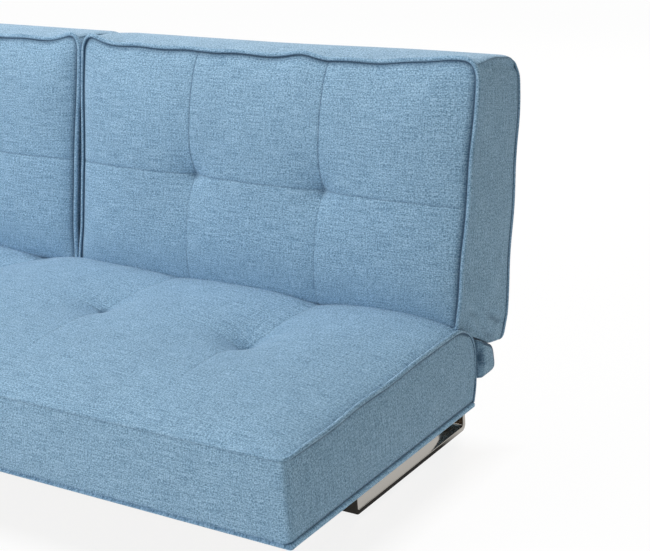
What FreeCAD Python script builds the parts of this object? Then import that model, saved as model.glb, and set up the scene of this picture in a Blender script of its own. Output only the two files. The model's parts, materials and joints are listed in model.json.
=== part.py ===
"""Futon sofa bed: one long seat on chrome sled legs and two backs on click-clack hinges.

Millimetres. +X runs along the sofa, +Y from the front to the back, +Z up. The pieces are drawn
with Y measured from the front of the seat cushion, and are moved on export so that the origin is
the centre of the footprint, on the floor. Each back is drawn upright, with Y through its thickness
and Z up its front face from the line where it meets the seat, and is then leaned back.
"""
import FreeCAD, Part
import math
import os

V = FreeCAD.Vector
X_AXIS = V(1, 0, 0)

# ---- Upholstery -------------------------------------------------------------------------------
LENGTH = 1860.0            # end to end
SEAT_DEPTH = 628.0         # front face to rear face of the seat cushion
SEAT_FRONT_H = 144.0       # seat cushion above the hem, at the front
SEAT_RISE = 16.0           # how much higher the seat top is where it meets the back
MEETING_SET_IN = 63.0      # line where the back meets the seat top, ahead of the seat's rear face
SEAT_REAR_R = 80.0         # round of the seat's top rear edge
SEAT_FRONT_R = 14.0        # round of the seat's top front edge
HEM_H = 14.0               # padded board round the bottom of the seat
HEM_PROUD = 3.0
COVER_T = 2.0              # upholstery fabric with its backing
DUST_CLOTH_T = 1.0

BACK_LEAN = 11.0           # degrees from upright
BACK_T = 176.0             # thickness of a back
BACK_TOP = 493.0           # up the front face, from the meeting line
BACK_BOTTOM = 46.0         # down from the meeting line, at the rear
BACK_TOE = 18.0            # bottom edge of the front face, above the meeting line
BACK_HEEL = 130.0          # where the sloping underside reaches its lowest level
BACK_TOE_R = 10.0
BACK_HEEL_R = 20.0
BACK_R = 25.0              # rear edges
BACK_TOP_R = 20.0          # top front edge
BACKS_APART = 4.0          # gap between the two backs

# ---- Steel frames -----------------------------------------------------------------------------
TUBE_W = 30.0
TUBE_H = 25.0
TUBE_WALL = 2.0
FRAME_SET_IN = 40.0        # seat frame, inside the cushion's ends
FRAME_SET_BACK = 36.0      # seat frame, inside the cushion's front and rear
BACK_FRAME_SET_IN = 44.0   # stiles, inside a back's ends
BACK_FRAME_TOP_GAP = 43.0  # top rail, below a back's top
BACK_PANEL_T = 2.0         # stiff panel behind the back frame

# ---- Springs ----------------------------------------------------------------------------------
WIRE_R = 1.75
SPRING_SWING = 22.0        # half the width of a zigzag
SPRING_STEP = 22.0         # from one crossing to the next
SPRING_ROOM = 13.0         # pocket left above or in front of the frame for the springs
SEAT_SPRINGS = 9
BACK_SPRINGS = 5
CLIP_L = 24.0
CLIP_W = 12.0
CLIP_T = 1.5
SPRING_HOLD = 10.0         # ends of the springs, in from a rail's outer edge

# ---- Legs -------------------------------------------------------------------------------------
LEG_BAR_W = 60.0
LEG_BAR_T = 10.0
LEG_BEND_R = 4.0           # inside radius of the bar's bends
LEG_DEPTH = 428.0
LEG_H = 161.0
LEG_UNDER = 228.0          # how far a leg reaches in under the seat from the seat's rear face
LEG_SET_IN = 143.0         # outer face, inside the sofa's end
LEG_PLATE_T = 4.0
LEG_PLATE_L = 60.0
LEG_PLATE_SET_IN = 16.0    # plates, from the ends of the stretch under the seat frame
LEG_RAIL_W = 40.0
GLIDE_T = 3.0
GLIDE_L = 44.0
GLIDE_W = 30.0
GLIDE_SET_IN = 22.0

# ---- Click-clack hinges -----------------------------------------------------------------------
PIVOT_BEHIND = 85.0        # pivot, behind the meeting line
BED_STEP = 2.6             # a flat back lies this much above the seat
PLATE_T = 4.0              # arms, brackets and pawls
ARM_EYE_R = 16.0
ARM_W = 25.0
ARM_TOP = 112.0            # end of the arm, above the meeting line
ARM_BEND_R = 12.0
ARM_END_R = 4.0
ARM_CRANK = 8.0            # how far the arm steps back and up from its eye
ARM_NECK = 22.0            # front bend of the arm, above the back's underside
ARM_BOLT_LOW = 39.0        # lower arm bolt, above the meeting line
ARM_BOLT_TOP_GAP = 22.0    # upper arm bolt, below the end of the arm
RATCHET_R = 24.0
RATCHET_TEETH = 6
RATCHET_FROM = -62.0       # degrees, first tooth, from straight behind
RATCHET_TO = 18.0
TOOTH_H = 3.5
BRACKET_EYE_R = 18.0
BRACKET_W = 36.0
FLANGE_L = 63.0
FLANGE_BOLT_END = 10.0     # inner bolt, from the flange's end
FLANGE_BOLT_PITCH = 19.0
PLAY = 0.1                 # between each face of an arm and its washer
RUNNING_GAP = 0.05         # round a pivot bolt or a pawl pin
WASHER_T = 1.0
WASHER_R = 10.0
PIVOT_R = 5.0
PAWL_PIN_R = 4.0
PAWL_PIN_Y = 10.0          # pawl pin, behind the pivot
PAWL_PIN_DROP = 48.0       # pawl pin, below the pivot
PAWL_EYE_R = 8.0
PAWL_LIFT = 0.8            # pawl's nose, clear of the teeth
PAWL_NOSE_W = 5.0
PAWL_NOSE_L = 2.0
SPRING_COIL_R = 5.2
SPRING_WIRE_R = 0.6
SPRING_COILS = 4
SPRING_L = 7.0
HINGE_PAD_R = 40.0
HINGE_PAD_T = 24.0

# ---- Fasteners --------------------------------------------------------------------------------
M8_R = 4.0
M10_R = 5.0
HEAD_OVER_R = 2.0          # head or nut radius, in shank radii
HEAD_H = 5.0
NUT_H = 8.0
RIVET_NUT_L = 12.0
RIVET_NUT_WALL = 2.0
BOLT_END = 1.0             # thread that shows beyond a nut
CLEAR = 0.3                # between pieces that only lie beside each other

# ---- Levels and places worked out from the above ----------------------------------------------
DECK_Z = GLIDE_T + LEG_H + LEG_PLATE_T           # underside of the seat frame
SEAT_Z = DECK_Z + HEM_H                          # underside of the seat cushion
FRAME_TOP = DECK_Z + TUBE_H
MEETING_Y = SEAT_DEPTH - MEETING_SET_IN
MEETING_Z = SEAT_Z + SEAT_FRONT_H + SEAT_RISE
SLOPE = SEAT_RISE / MEETING_Y
LEAN = math.radians(BACK_LEAN)
PIVOT_Y = MEETING_Y + PIVOT_BEHIND
PIVOT_Z = MEETING_Z + (BED_STEP - PIVOT_BEHIND * math.cos(LEAN)) / (1 - math.sin(LEAN))
HALF = LENGTH / 2
BACK_REAR_Y = (MEETING_Y + (BACK_TOP - BACK_R) * math.sin(LEAN)
               + (BACK_T - BACK_R) * math.cos(LEAN) + BACK_R)
LEG_FRONT = SEAT_DEPTH - LEG_UNDER
LEG_X = HALF - LEG_SET_IN - LEG_BAR_W / 2         # centre of a leg's bar
CENTRE_Y = (max(LEG_FRONT + LEG_DEPTH, BACK_REAR_Y) - HEM_PROUD) / 2
FRAME_X = HALF - FRAME_SET_IN
FRAME_Y0 = FRAME_SET_BACK
FRAME_Y1 = SEAT_DEPTH - FRAME_SET_BACK
BACK_FRAME_Y1 = BACK_T - COVER_T - BACK_PANEL_T   # rear face of the back frame
BACK_FRAME_Y0 = BACK_FRAME_Y1 - TUBE_H
BACK_FRAME_TOP = BACK_TOP - BACK_FRAME_TOP_GAP
SIDES = {"right": 1, "left": -1}


# ---- Small tools ------------------------------------------------------------------------------
def box(x0, x1, y0, y1, z0, z1):
    """Block between two corners, given in either order along X."""
    low, high = min(x0, x1), max(x0, x1)
    return Part.makeBox(high - low, y1 - y0, z1 - z0, V(low, y0, z0))


def rod(radius, x0, x1, y, z):
    """Round bar along X."""
    low, high = min(x0, x1), max(x0, x1)
    return Part.makeCylinder(radius, high - low, V(low, y, z), X_AXIS)


def bolt_up(radius, x, y, z0, z1, head_h=HEAD_H):
    """Bolt standing on its head: the head ends at z0 and the shank at z1."""
    head = Part.makeCylinder(radius * HEAD_OVER_R, head_h, V(x, y, z0 - head_h))
    return head.fuse(Part.makeCylinder(radius, z1 - z0, V(x, y, z0))).removeSplitter()


def rounded_wire(corners):
    """Closed outline in the YZ plane from (y, z, radius) corners, joined by tangent arcs."""
    count = len(corners)
    edges = []
    joints = []
    for i, (y, z, radius) in enumerate(corners):
        here = V(0, y, z)
        before = V(0, corners[i - 1][0], corners[i - 1][1])
        after = V(0, corners[(i + 1) % count][0], corners[(i + 1) % count][1])
        to_before = (before - here).normalize()
        to_after = (after - here).normalize()
        if radius == 0:
            joints.append((here, here, None))
            continue
        half = to_before.getAngle(to_after) / 2
        reach = radius / math.tan(half)
        bisector = (to_before + to_after).normalize()
        middle = here + bisector * (radius / math.sin(half) - radius)
        joints.append((here + to_before * reach, here + to_after * reach, middle))
    for i, (start, end, middle) in enumerate(joints):
        if middle is not None:
            edges.append(Part.Arc(start, middle, end).toShape())
        edges.append(Part.LineSegment(end, joints[(i + 1) % count][0]).toShape())
    return Part.Wire(edges)


def prism(wire, x0, x1):
    """Solid between x0 and x1 with a YZ outline."""
    low, high = min(x0, x1), max(x0, x1)
    face = Part.Face(wire)
    face.translate(V(low, 0, 0))
    return face.extrude(V(high - low, 0, 0))


def polygon(points, x0, x1):
    """Solid between x0 and x1 with straight sides through (y, z) points."""
    return prism(rounded_wire([(y, z, 0) for y, z in points]), x0, x1)


def skin(wire, x0, x1):
    """Fabric cover and the space inside it, for a YZ outline between x0 and x1."""
    outer = prism(wire, x0, x1)
    inner_face = Part.Face(wire).makeOffset2D(-COVER_T)
    low, high = min(x0, x1) + COVER_T, max(x0, x1) - COVER_T
    inner_face.translate(V(low, 0, 0))
    inner = inner_face.extrude(V(high - low, 0, 0))
    return outer.cut(inner), inner


def tube_along_x(x0, x1, y0, z0, width, height):
    """Rectangular tube along X, open at both ends."""
    wall = TUBE_WALL
    outer = box(x0, x1, y0, y0 + width, z0, z0 + height)
    return outer.cut(box(x0, x1, y0 + wall, y0 + width - wall, z0 + wall, z0 + height - wall))


def tube_along_y(x0, width, y0, y1, z0, height):
    """Rectangular tube along Y, open at both ends."""
    wall = TUBE_WALL
    outer = box(x0, x0 + width, y0, y1, z0, z0 + height)
    return outer.cut(box(x0 + wall, x0 + width - wall, y0, y1, z0 + wall, z0 + height - wall))


def tube_along_z(x0, y0, z0, z1, width, height):
    """Rectangular tube along Z, width along X and height along Y, open at both ends."""
    wall = TUBE_WALL
    outer = box(x0, x0 + width, y0, y0 + height, z0, z1)
    return outer.cut(box(x0 + wall, x0 + width - wall, y0 + wall, y0 + height - wall, z0, z1))


def zigzag(length):
    """Flat spring of round wire between y = 0 and y = length: crossings along X joined by half turns."""
    turns = int((length - 2 * WIRE_R) / SPRING_STEP)
    bend = SPRING_STEP / 2
    straight = SPRING_SWING - bend
    y = (length - turns * SPRING_STEP) / 2
    side = 1
    edges = [Part.LineSegment(V(-straight, y, 0), V(straight, y, 0)).toShape()]
    for _ in range(turns):
        start, end = V(side * straight, y, 0), V(side * straight, y + SPRING_STEP, 0)
        edges.append(Part.Arc(start, V(side * (straight + bend), y + bend, 0), end).toShape())
        edges.append(Part.LineSegment(end, V(-side * straight, y + SPRING_STEP, 0)).toShape())
        side = -side
        y += SPRING_STEP
    section = Part.Wire([Part.Circle(V(-straight, edges[0].Vertexes[0].Y, 0), X_AXIS, WIRE_R).toShape()])
    return Part.Wire(edges).makePipeShell([section], True, True), (length - turns * SPRING_STEP) / 2


def spring_clip(x, y, towards):
    """Folded clip round the end crossing of a spring at y, lying on Z = 0 and open towards the spring."""
    inside = 2 * WIRE_R
    y_open, y_web = y + towards * CLIP_W / 2, y - towards * (WIRE_R + CLIP_T)
    low, high = min(y_open, y_web), max(y_open, y_web)
    clip = box(x - CLIP_L / 2, x + CLIP_L / 2, low, high, 0, inside + 2 * CLIP_T)
    slot_low, slot_high = sorted((y_open, y - towards * WIRE_R))
    return clip.cut(box(x - CLIP_L / 2, x + CLIP_L / 2, slot_low, slot_high, CLIP_T, CLIP_T + inside))


def spring_rows(centres, y0, y1, z):
    """Springs and clips between two rails, lying on the level z, for the given X places."""
    springs = []
    clips = []
    for x in centres:
        spring, first = zigzag(y1 - y0)
        spring.translate(V(x, y0, z + CLIP_T + WIRE_R))
        springs.append(spring)
        for y, towards in ((y0 + first, 1), (y1 - first, -1)):
            clip = spring_clip(x, y, towards)
            clip.translate(V(0, 0, z))
            clips.append(clip)
    return springs, clips


def lean(shape):
    """Lean an upright back piece and set it on the seat."""
    moved = shape.copy()
    moved.rotate(V(0, 0, 0), X_AXIS, -BACK_LEAN)
    moved.translate(V(0, MEETING_Y, MEETING_Z))
    return moved


def unlean(y, z):
    """The upright-back coordinates of a point of the sofa."""
    dy, dz = y - MEETING_Y, z - MEETING_Z
    return (dy * math.cos(LEAN) - dz * math.sin(LEAN), dy * math.sin(LEAN) + dz * math.cos(LEAN))


# ---- Seat -------------------------------------------------------------------------------------
def seat_cushion():
    """Seat cover and foam, with a pocket below for the frame and springs."""
    front_z = SEAT_Z + SEAT_FRONT_H
    outline = rounded_wire([
        (0, SEAT_Z, 0), (SEAT_DEPTH, SEAT_Z, 0),
        (SEAT_DEPTH, front_z + SLOPE * SEAT_DEPTH, SEAT_REAR_R), (0, front_z, SEAT_FRONT_R)])
    cover, foam = skin(outline, -HALF, HALF)
    pocket = box(-FRAME_X, FRAME_X, FRAME_Y0, FRAME_Y1, SEAT_Z - COVER_T, FRAME_TOP + SPRING_ROOM)
    return {"seat_cover": cover.cut(pocket), "seat_foam": foam.cut(pocket)}


def seat_hem():
    """Padded boards round the bottom of the seat, one along each side."""
    out_x, out_y0, out_y1 = HALF + HEM_PROUD, -HEM_PROUD, SEAT_DEPTH + HEM_PROUD
    strips = [box(-out_x, out_x, out_y0, FRAME_Y0, DECK_Z, SEAT_Z),
              box(-out_x, out_x, FRAME_Y1, out_y1, DECK_Z, SEAT_Z)]
    for side in SIDES.values():
        strips.append(box(side * FRAME_X, side * out_x, FRAME_Y0, FRAME_Y1, DECK_Z, SEAT_Z))
    return {"seat_hem_boards": strips}


def rail_bays():
    """X centre and width of each cross rail, from left to right."""
    end_x = FRAME_X - TUBE_W / 2
    return [(-end_x, TUBE_W), (-LEG_X, LEG_RAIL_W), (0.0, TUBE_W), (LEG_X, LEG_RAIL_W), (end_x, TUBE_W)]


def seat_frame():
    """Steel frame of the seat: two long rails with five cross rails between them."""
    long_rails = [tube_along_x(-FRAME_X, FRAME_X, y, DECK_Z, TUBE_W, TUBE_H)
                  for y in (FRAME_Y0, FRAME_Y1 - TUBE_W)]
    cross_rails = [tube_along_y(x - width / 2, width, FRAME_Y0 + TUBE_W, FRAME_Y1 - TUBE_W, DECK_Z, TUBE_H)
                   for x, width in rail_bays()]
    for x, y in leg_bolt_places() + flange_bolt_places():
        hole = Part.makeCylinder(M8_R, TUBE_WALL, V(x, y, DECK_Z))
        long_rails = [rail.cut(hole) for rail in long_rails]
        cross_rails = [rail.cut(hole) for rail in cross_rails]
    return {"seat_frame_long_rails": long_rails, "seat_frame_cross_rails": cross_rails}


def seat_springs():
    """Zigzag springs from the front rail to the rear rail, in clips on top of the rails."""
    pitch = 2 * (FRAME_X - TUBE_W) / SEAT_SPRINGS
    centres = [(i - (SEAT_SPRINGS - 1) / 2) * pitch for i in range(SEAT_SPRINGS)]
    springs, clips = spring_rows(centres, FRAME_Y0 + SPRING_HOLD, FRAME_Y1 - SPRING_HOLD, FRAME_TOP)
    return {"seat_springs": springs, "seat_spring_clips": clips}


def seat_dust_cover():
    """Thin black cloth across the underside, between the rails of the frame."""
    cloth = box(-FRAME_X + TUBE_W, FRAME_X - TUBE_W, FRAME_Y0 + TUBE_W, FRAME_Y1 - TUBE_W,
                DECK_Z, DECK_Z + DUST_CLOTH_T)
    for x, width in rail_bays():
        cloth = cloth.cut(box(x - width / 2, x + width / 2, FRAME_Y0, FRAME_Y1, DECK_Z, FRAME_TOP))
    return {"seat_dust_cover": list(cloth.Solids)}


# ---- Legs -------------------------------------------------------------------------------------
def leg_plate_places():
    """Y of the front edge of each mounting plate."""
    under_from, under_to = LEG_FRONT, FRAME_Y1 - TUBE_W
    return (under_from + LEG_PLATE_SET_IN, under_to - LEG_PLATE_SET_IN - LEG_PLATE_L + CLEAR)


def leg_bolt_places():
    """X and Y of every leg bolt: one at the middle of each plate."""
    return [(side * LEG_X, y + LEG_PLATE_L / 2) for side in SIDES.values() for y in leg_plate_places()]


def sled_leg(side):
    """Closed loop of flat bar standing on its edge rails, wide face down, with two bolt holes."""
    outer_r = LEG_BEND_R + LEG_BAR_T
    y0, y1, z0, z1 = LEG_FRONT, LEG_FRONT + LEG_DEPTH, GLIDE_T, GLIDE_T + LEG_H
    outer = rounded_wire([(y0, z0, outer_r), (y1, z0, outer_r), (y1, z1, outer_r), (y0, z1, outer_r)])
    t = LEG_BAR_T
    inner = rounded_wire([(y0 + t, z0 + t, LEG_BEND_R), (y1 - t, z0 + t, LEG_BEND_R),
                          (y1 - t, z1 - t, LEG_BEND_R), (y0 + t, z1 - t, LEG_BEND_R)])
    x0, x1 = side * LEG_X - LEG_BAR_W / 2, side * LEG_X + LEG_BAR_W / 2
    loop = prism(outer, x0, x1).cut(prism(inner, x0, x1))
    for bolt_x, bolt_y in leg_bolt_places():
        loop = loop.cut(Part.makeCylinder(M8_R, LEG_BAR_T, V(bolt_x, bolt_y, z1 - t)))
    return loop


def leg_parts():
    """Two sled legs with their plates, bolts and glides."""
    made = {}
    plates, bolts, glides, nuts = [], [], [], []
    plate_z = GLIDE_T + LEG_H
    for name, side in SIDES.items():
        made["leg_" + name] = sled_leg(side)
        x = side * LEG_X
        for y in leg_plate_places():
            plates.append(box(x - LEG_BAR_W / 2, x + LEG_BAR_W / 2, y, y + LEG_PLATE_L, plate_z, DECK_Z))
        for y in (LEG_FRONT + GLIDE_SET_IN, LEG_FRONT + LEG_DEPTH - GLIDE_SET_IN - GLIDE_L):
            glides.append(box(x - GLIDE_W / 2, x + GLIDE_W / 2, y, y + GLIDE_L, 0, GLIDE_T))
    inside_floor = DECK_Z + TUBE_WALL
    for x, y in leg_bolt_places():
        bolts.append(bolt_up(M8_R, x, y, plate_z - LEG_BAR_T, inside_floor + RIVET_NUT_L))
        nuts.append(rivet_nut(x, y, inside_floor))
    drilled = []
    for plate in plates:
        for x, y in leg_bolt_places():
            plate = plate.cut(Part.makeCylinder(M8_R, LEG_PLATE_T, V(x, y, plate_z)))
        drilled.append(plate)
    made["leg_plates"] = drilled
    made["leg_bolts"] = bolts
    made["leg_rivet_nuts"] = nuts
    made["leg_glides"] = glides
    return made


def rivet_nut(x, y, z):
    """Threaded insert standing on the inside of a tube's lower wall."""
    body = Part.makeCylinder(M8_R + RIVET_NUT_WALL, RIVET_NUT_L, V(x, y, z))
    return body.cut(Part.makeCylinder(M8_R, RIVET_NUT_L, V(x, y, z)))


# ---- Hinges -----------------------------------------------------------------------------------
def hinges():
    """Name, back, X of the stile's face and outward direction of each of the four hinges."""
    outer, inner = HALF - BACK_FRAME_SET_IN, BACKS_APART / 2 + BACK_FRAME_SET_IN + PLATE_T
    listed = []
    for name, side in SIDES.items():
        listed.append((name + "_outer", name, side * outer, side))
        listed.append((name + "_inner", name, side * inner, -side))
    return listed


def flange_bolt_places():
    """X and Y of the two bolts of each hinge bracket, in the middle of the rear rail."""
    y = FRAME_Y1 - TUBE_W / 2
    places = []
    for _, _, face, out in hinges():
        flange_end = face + out * (2 * PLATE_T + PLAY + WASHER_T - FLANGE_L)
        for from_end in (FLANGE_BOLT_END, FLANGE_BOLT_END + FLANGE_BOLT_PITCH):
            places.append((flange_end + out * from_end, y))
    return places


def bracket(face, out):
    """Seat bracket: a flange under the rear rail and an upright plate with the pivot's eye."""
    inside = face + out * (PLATE_T + PLAY + WASHER_T)
    outside = inside + out * PLATE_T
    rear_y = PIVOT_Y + BRACKET_W / 2
    flange = box(outside, outside - out * FLANGE_L, FRAME_Y1 - TUBE_W, rear_y, DECK_Z - PLATE_T, DECK_Z)
    upright = box(inside, outside, PIVOT_Y - BRACKET_W / 2, rear_y, DECK_Z, PIVOT_Z)
    eye = rod(BRACKET_EYE_R, inside, outside, PIVOT_Y, PIVOT_Z)
    plate = flange.fuse(upright).fuse(eye).removeSplitter()
    plate = plate.cut(rod(PIVOT_R, inside, outside, PIVOT_Y, PIVOT_Z))
    plate = plate.cut(rod(PAWL_PIN_R, inside, outside, PIVOT_Y + PAWL_PIN_Y, PIVOT_Z - PAWL_PIN_DROP))
    for x, y in flange_bolt_places():
        plate = plate.cut(Part.makeCylinder(M8_R, PLATE_T, V(x, y, DECK_Z - PLATE_T)))
    return plate


def ratchet_profile(x0, x1):
    """Toothed sector round the pivot, drawn on the leaned sofa at rest."""
    step = (RATCHET_TO - RATCHET_FROM) / RATCHET_TEETH
    points = [(PIVOT_Y, PIVOT_Z)]
    for i in range(RATCHET_TEETH):
        for share, radius in ((0.0, RATCHET_R - TOOTH_H), (0.15, RATCHET_R), (0.95, RATCHET_R - TOOTH_H)):
            angle = math.radians(RATCHET_FROM + (i + share) * step)
            points.append((PIVOT_Y + radius * math.cos(angle), PIVOT_Z + radius * math.sin(angle)))
    return polygon(points, x0, x1)


def arm_outline():
    """Side outline of an arm above its eye, on the upright back."""
    pivot_y, pivot_z = unlean(PIVOT_Y, PIVOT_Z)
    stile_y0 = BACK_FRAME_Y0 + (TUBE_H - ARM_W) / 2
    stile_y1 = stile_y0 + ARM_W
    half = ARM_W / 2
    return rounded_wire([
        (pivot_y - half, pivot_z, 0), (pivot_y + half, pivot_z, 0),
        (pivot_y + half + ARM_CRANK, -BACK_BOTTOM + ARM_CRANK, ARM_BEND_R), (stile_y1, 0, ARM_BEND_R),
        (stile_y1, ARM_TOP, ARM_END_R), (stile_y0, ARM_TOP, ARM_END_R), (stile_y0, ARM_BEND_R, ARM_BEND_R),
        (pivot_y - half + ARM_CRANK, -BACK_BOTTOM + ARM_NECK, ARM_BEND_R)])


def arm(face, out):
    """Back arm: an eye with a ratchet at the pivot, and a leg that runs up the back's stile."""
    x0, x1 = face, face + out * PLATE_T
    plate = prism(arm_outline(), x0, x1)
    plate = lean(plate).fuse(rod(ARM_EYE_R, x0, x1, PIVOT_Y, PIVOT_Z)).fuse(ratchet_profile(x0, x1))
    plate = plate.removeSplitter().cut(rod(PIVOT_R + RUNNING_GAP, x0, x1, PIVOT_Y, PIVOT_Z))
    for z in arm_bolt_levels():
        hole = rod(M8_R, x0, x1, BACK_FRAME_Y0 + TUBE_H / 2, z)
        plate = plate.cut(lean(hole))
    return plate


def arm_bolt_levels():
    """Heights of an arm's two bolts up the stile."""
    return (ARM_BOLT_LOW, ARM_TOP - ARM_BOLT_TOP_GAP)


def pawl(face, out):
    """Pawl below the ratchet, its nose just clear of the teeth."""
    x0, x1 = face, face + out * PLATE_T
    pin_y, pin_z = PIVOT_Y + PAWL_PIN_Y, PIVOT_Z - PAWL_PIN_DROP
    tip_z = PIVOT_Z - RATCHET_R - PAWL_LIFT
    front_y, rear_y, base_z = PIVOT_Y, PIVOT_Y + PAWL_NOSE_W, tip_z - PAWL_NOSE_L
    body = polygon([
        (pin_y - PAWL_EYE_R, pin_z), (pin_y + PAWL_EYE_R, pin_z), (rear_y, base_z), (front_y, base_z)],
        x0, x1)
    tip_y = (front_y + rear_y) / 2
    nose = polygon([(front_y, base_z), (rear_y, base_z), (tip_y, tip_z)], x0, x1)
    eye = rod(PAWL_EYE_R, x0, x1, pin_y, pin_z)
    return body.fuse(nose).fuse(eye).removeSplitter().cut(rod(PAWL_PIN_R + RUNNING_GAP, x0, x1, pin_y, pin_z))


def hinge_parts():
    """Brackets, arms, pawls, pivots, pins, springs and screws of the four hinges."""
    made = {}
    groups = {"hinge_pivot_bolts": [], "hinge_pivot_nuts": [], "hinge_washers": [], "pawl_pins": [],
              "pawl_springs": [], "hinge_bracket_bolts": [], "hinge_bracket_rivet_nuts": []}
    for name, _, face, out in hinges():
        made["hinge_bracket_" + name] = bracket(face, out)
        made["hinge_arm_" + name] = arm(face, out)
        made["pawl_" + name] = pawl(face, out)
        bracket_in = face + out * (PLATE_T + PLAY + WASHER_T)
        bracket_out = bracket_in + out * PLATE_T
        nut_face = face - out * (PLAY + WASHER_T)
        shank_end = nut_face - out * (NUT_H + BOLT_END)
        shank = rod(PIVOT_R, shank_end, bracket_out, PIVOT_Y, PIVOT_Z)
        head = rod(PIVOT_R * HEAD_OVER_R, bracket_out, bracket_out + out * HEAD_H, PIVOT_Y, PIVOT_Z)
        groups["hinge_pivot_bolts"].append(shank.fuse(head).removeSplitter())
        bore = rod(PIVOT_R, shank_end, bracket_out, PIVOT_Y, PIVOT_Z)
        groups["hinge_pivot_nuts"].append(hex_nut(nut_face, nut_face - out * NUT_H).cut(bore))
        for start in (face + out * (PLATE_T + PLAY), nut_face):
            washer = rod(WASHER_R, start, start + out * WASHER_T, PIVOT_Y, PIVOT_Z)
            groups["hinge_washers"].append(washer.cut(bore))
        pin_y, pin_z = PIVOT_Y + PAWL_PIN_Y, PIVOT_Z - PAWL_PIN_DROP
        coil_in, coil_out = face - out * (CLEAR + SPRING_L), face - out * CLEAR
        groups["pawl_springs"].append(pawl_spring(coil_in, coil_out, pin_y, pin_z))
        groups["pawl_pins"].append(rod(PAWL_PIN_R, coil_in - out * CLEAR, bracket_out, pin_y, pin_z))
    inside_floor = DECK_Z + TUBE_WALL
    for x, y in flange_bolt_places():
        bolt = bolt_up(M8_R, x, y, DECK_Z - PLATE_T, inside_floor + RIVET_NUT_L)
        groups["hinge_bracket_bolts"].append(bolt)
        groups["hinge_bracket_rivet_nuts"].append(rivet_nut(x, y, inside_floor))
    made.update(groups)
    return made


def hex_nut(x0, x1):
    """Hexagonal nut on the pivot's axis."""
    radius = PIVOT_R * HEAD_OVER_R
    points = [(PIVOT_Y + radius * math.cos(math.radians(60 * i)),
               PIVOT_Z + radius * math.sin(math.radians(60 * i))) for i in range(6)]
    return polygon(points, x0, x1)


def pawl_spring(x0, x1, y, z):
    """Coil of the torsion spring round a pawl's pin, between x0 and x1."""
    height = abs(x1 - x0) - 2 * SPRING_WIRE_R
    helix = Part.makeHelix(height / SPRING_COILS, height, SPRING_COIL_R)
    section = Part.Wire([Part.Circle(V(SPRING_COIL_R, 0, 0), V(0, 1, 0), SPRING_WIRE_R).toShape()])
    coil = Part.Wire(helix.Edges).makePipeShell([section], True, True)
    coil.rotate(V(0, 0, 0), V(0, 1, 0), 90)
    coil.translate(V(min(x0, x1) + SPRING_WIRE_R, y, z))
    return coil


def hinge_pads():
    """Fabric-covered pads that close the hinges off at the two ends of the sofa."""
    made = {}
    for name, side in SIDES.items():
        outer_x = side * (HALF - CLEAR)
        inner_x = outer_x - side * HINGE_PAD_T
        low, high = PIVOT_Z - HINGE_PAD_R, PIVOT_Z + HINGE_PAD_R
        disc = rod(HINGE_PAD_R, outer_x, inner_x, PIVOT_Y, PIVOT_Z)
        disc = disc.common(box(outer_x, inner_x, SEAT_DEPTH, PIVOT_Y + HINGE_PAD_R, low, high))
        block = box(outer_x, inner_x, SEAT_DEPTH, PIVOT_Y, low, high)
        made["hinge_pad_" + name] = disc.fuse(block).removeSplitter()
    return made


# ---- Backs ------------------------------------------------------------------------------------
def back_frame(name, side):
    """Steel frame of one back, its springs and clips, and the panel behind it; drawn upright."""
    stile_out = side * (HALF - BACK_FRAME_SET_IN)
    stile_in = side * (BACKS_APART / 2 + BACK_FRAME_SET_IN + PLATE_T)
    low, high = min(stile_out, stile_in), max(stile_out, stile_in)
    y0 = BACK_FRAME_Y0
    stiles = [tube_along_z(low, y0, 0, BACK_FRAME_TOP, TUBE_W, TUBE_H),
              tube_along_z(high - TUBE_W, y0, 0, BACK_FRAME_TOP, TUBE_W, TUBE_H)]
    rails = [tube_along_x(low + TUBE_W, high - TUBE_W, y0, z, TUBE_H, TUBE_W)
             for z in (0, BACK_FRAME_TOP - TUBE_W)]
    drilled = []
    middle_y = y0 + TUBE_H / 2
    for stile in stiles:
        for z in arm_bolt_levels():
            stile = stile.cut(rod(M8_R, low, low + TUBE_WALL, middle_y, z))
            stile = stile.cut(rod(M8_R, high - TUBE_WALL, high, middle_y, z))
        drilled.append(stile)
    made = {"back_%s_frame_stiles" % name: drilled, "back_%s_frame_rails" % name: rails}
    pitch = (high - low - 2 * TUBE_W) / BACK_SPRINGS
    centres = [(low + high) / 2 + (i - (BACK_SPRINGS - 1) / 2) * pitch for i in range(BACK_SPRINGS)]
    springs, clips = spring_rows(centres, SPRING_HOLD, BACK_FRAME_TOP - SPRING_HOLD, 0)
    for group in (springs, clips):
        for shape in group:
            shape.rotate(V(0, 0, 0), X_AXIS, 90)
            shape.translate(V(0, y0, 0))
    made["back_%s_springs" % name] = springs
    made["back_%s_spring_clips" % name] = clips
    made["back_%s_panel" % name] = box(low, high, BACK_FRAME_Y1, BACK_FRAME_Y1 + BACK_PANEL_T,
                                       0, BACK_FRAME_TOP)
    return made


def back_outline():
    """Side outline of a back, drawn upright."""
    return rounded_wire([
        (0, BACK_TOE, BACK_TOE_R), (BACK_HEEL, -BACK_BOTTOM, BACK_HEEL_R), (BACK_T, -BACK_BOTTOM, BACK_R),
        (BACK_T, BACK_TOP, BACK_R), (0, BACK_TOP, BACK_TOP_R)])


def arm_slot(face, out):
    """Room for a hinge arm and its bolt heads in the foam and cover of an upright back."""
    slot_face = Part.Face(arm_outline()).makeOffset2D(CLEAR)
    return prism(slot_face.OuterWire, face, face + out * (PLATE_T + HEAD_H + CLEAR))


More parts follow.
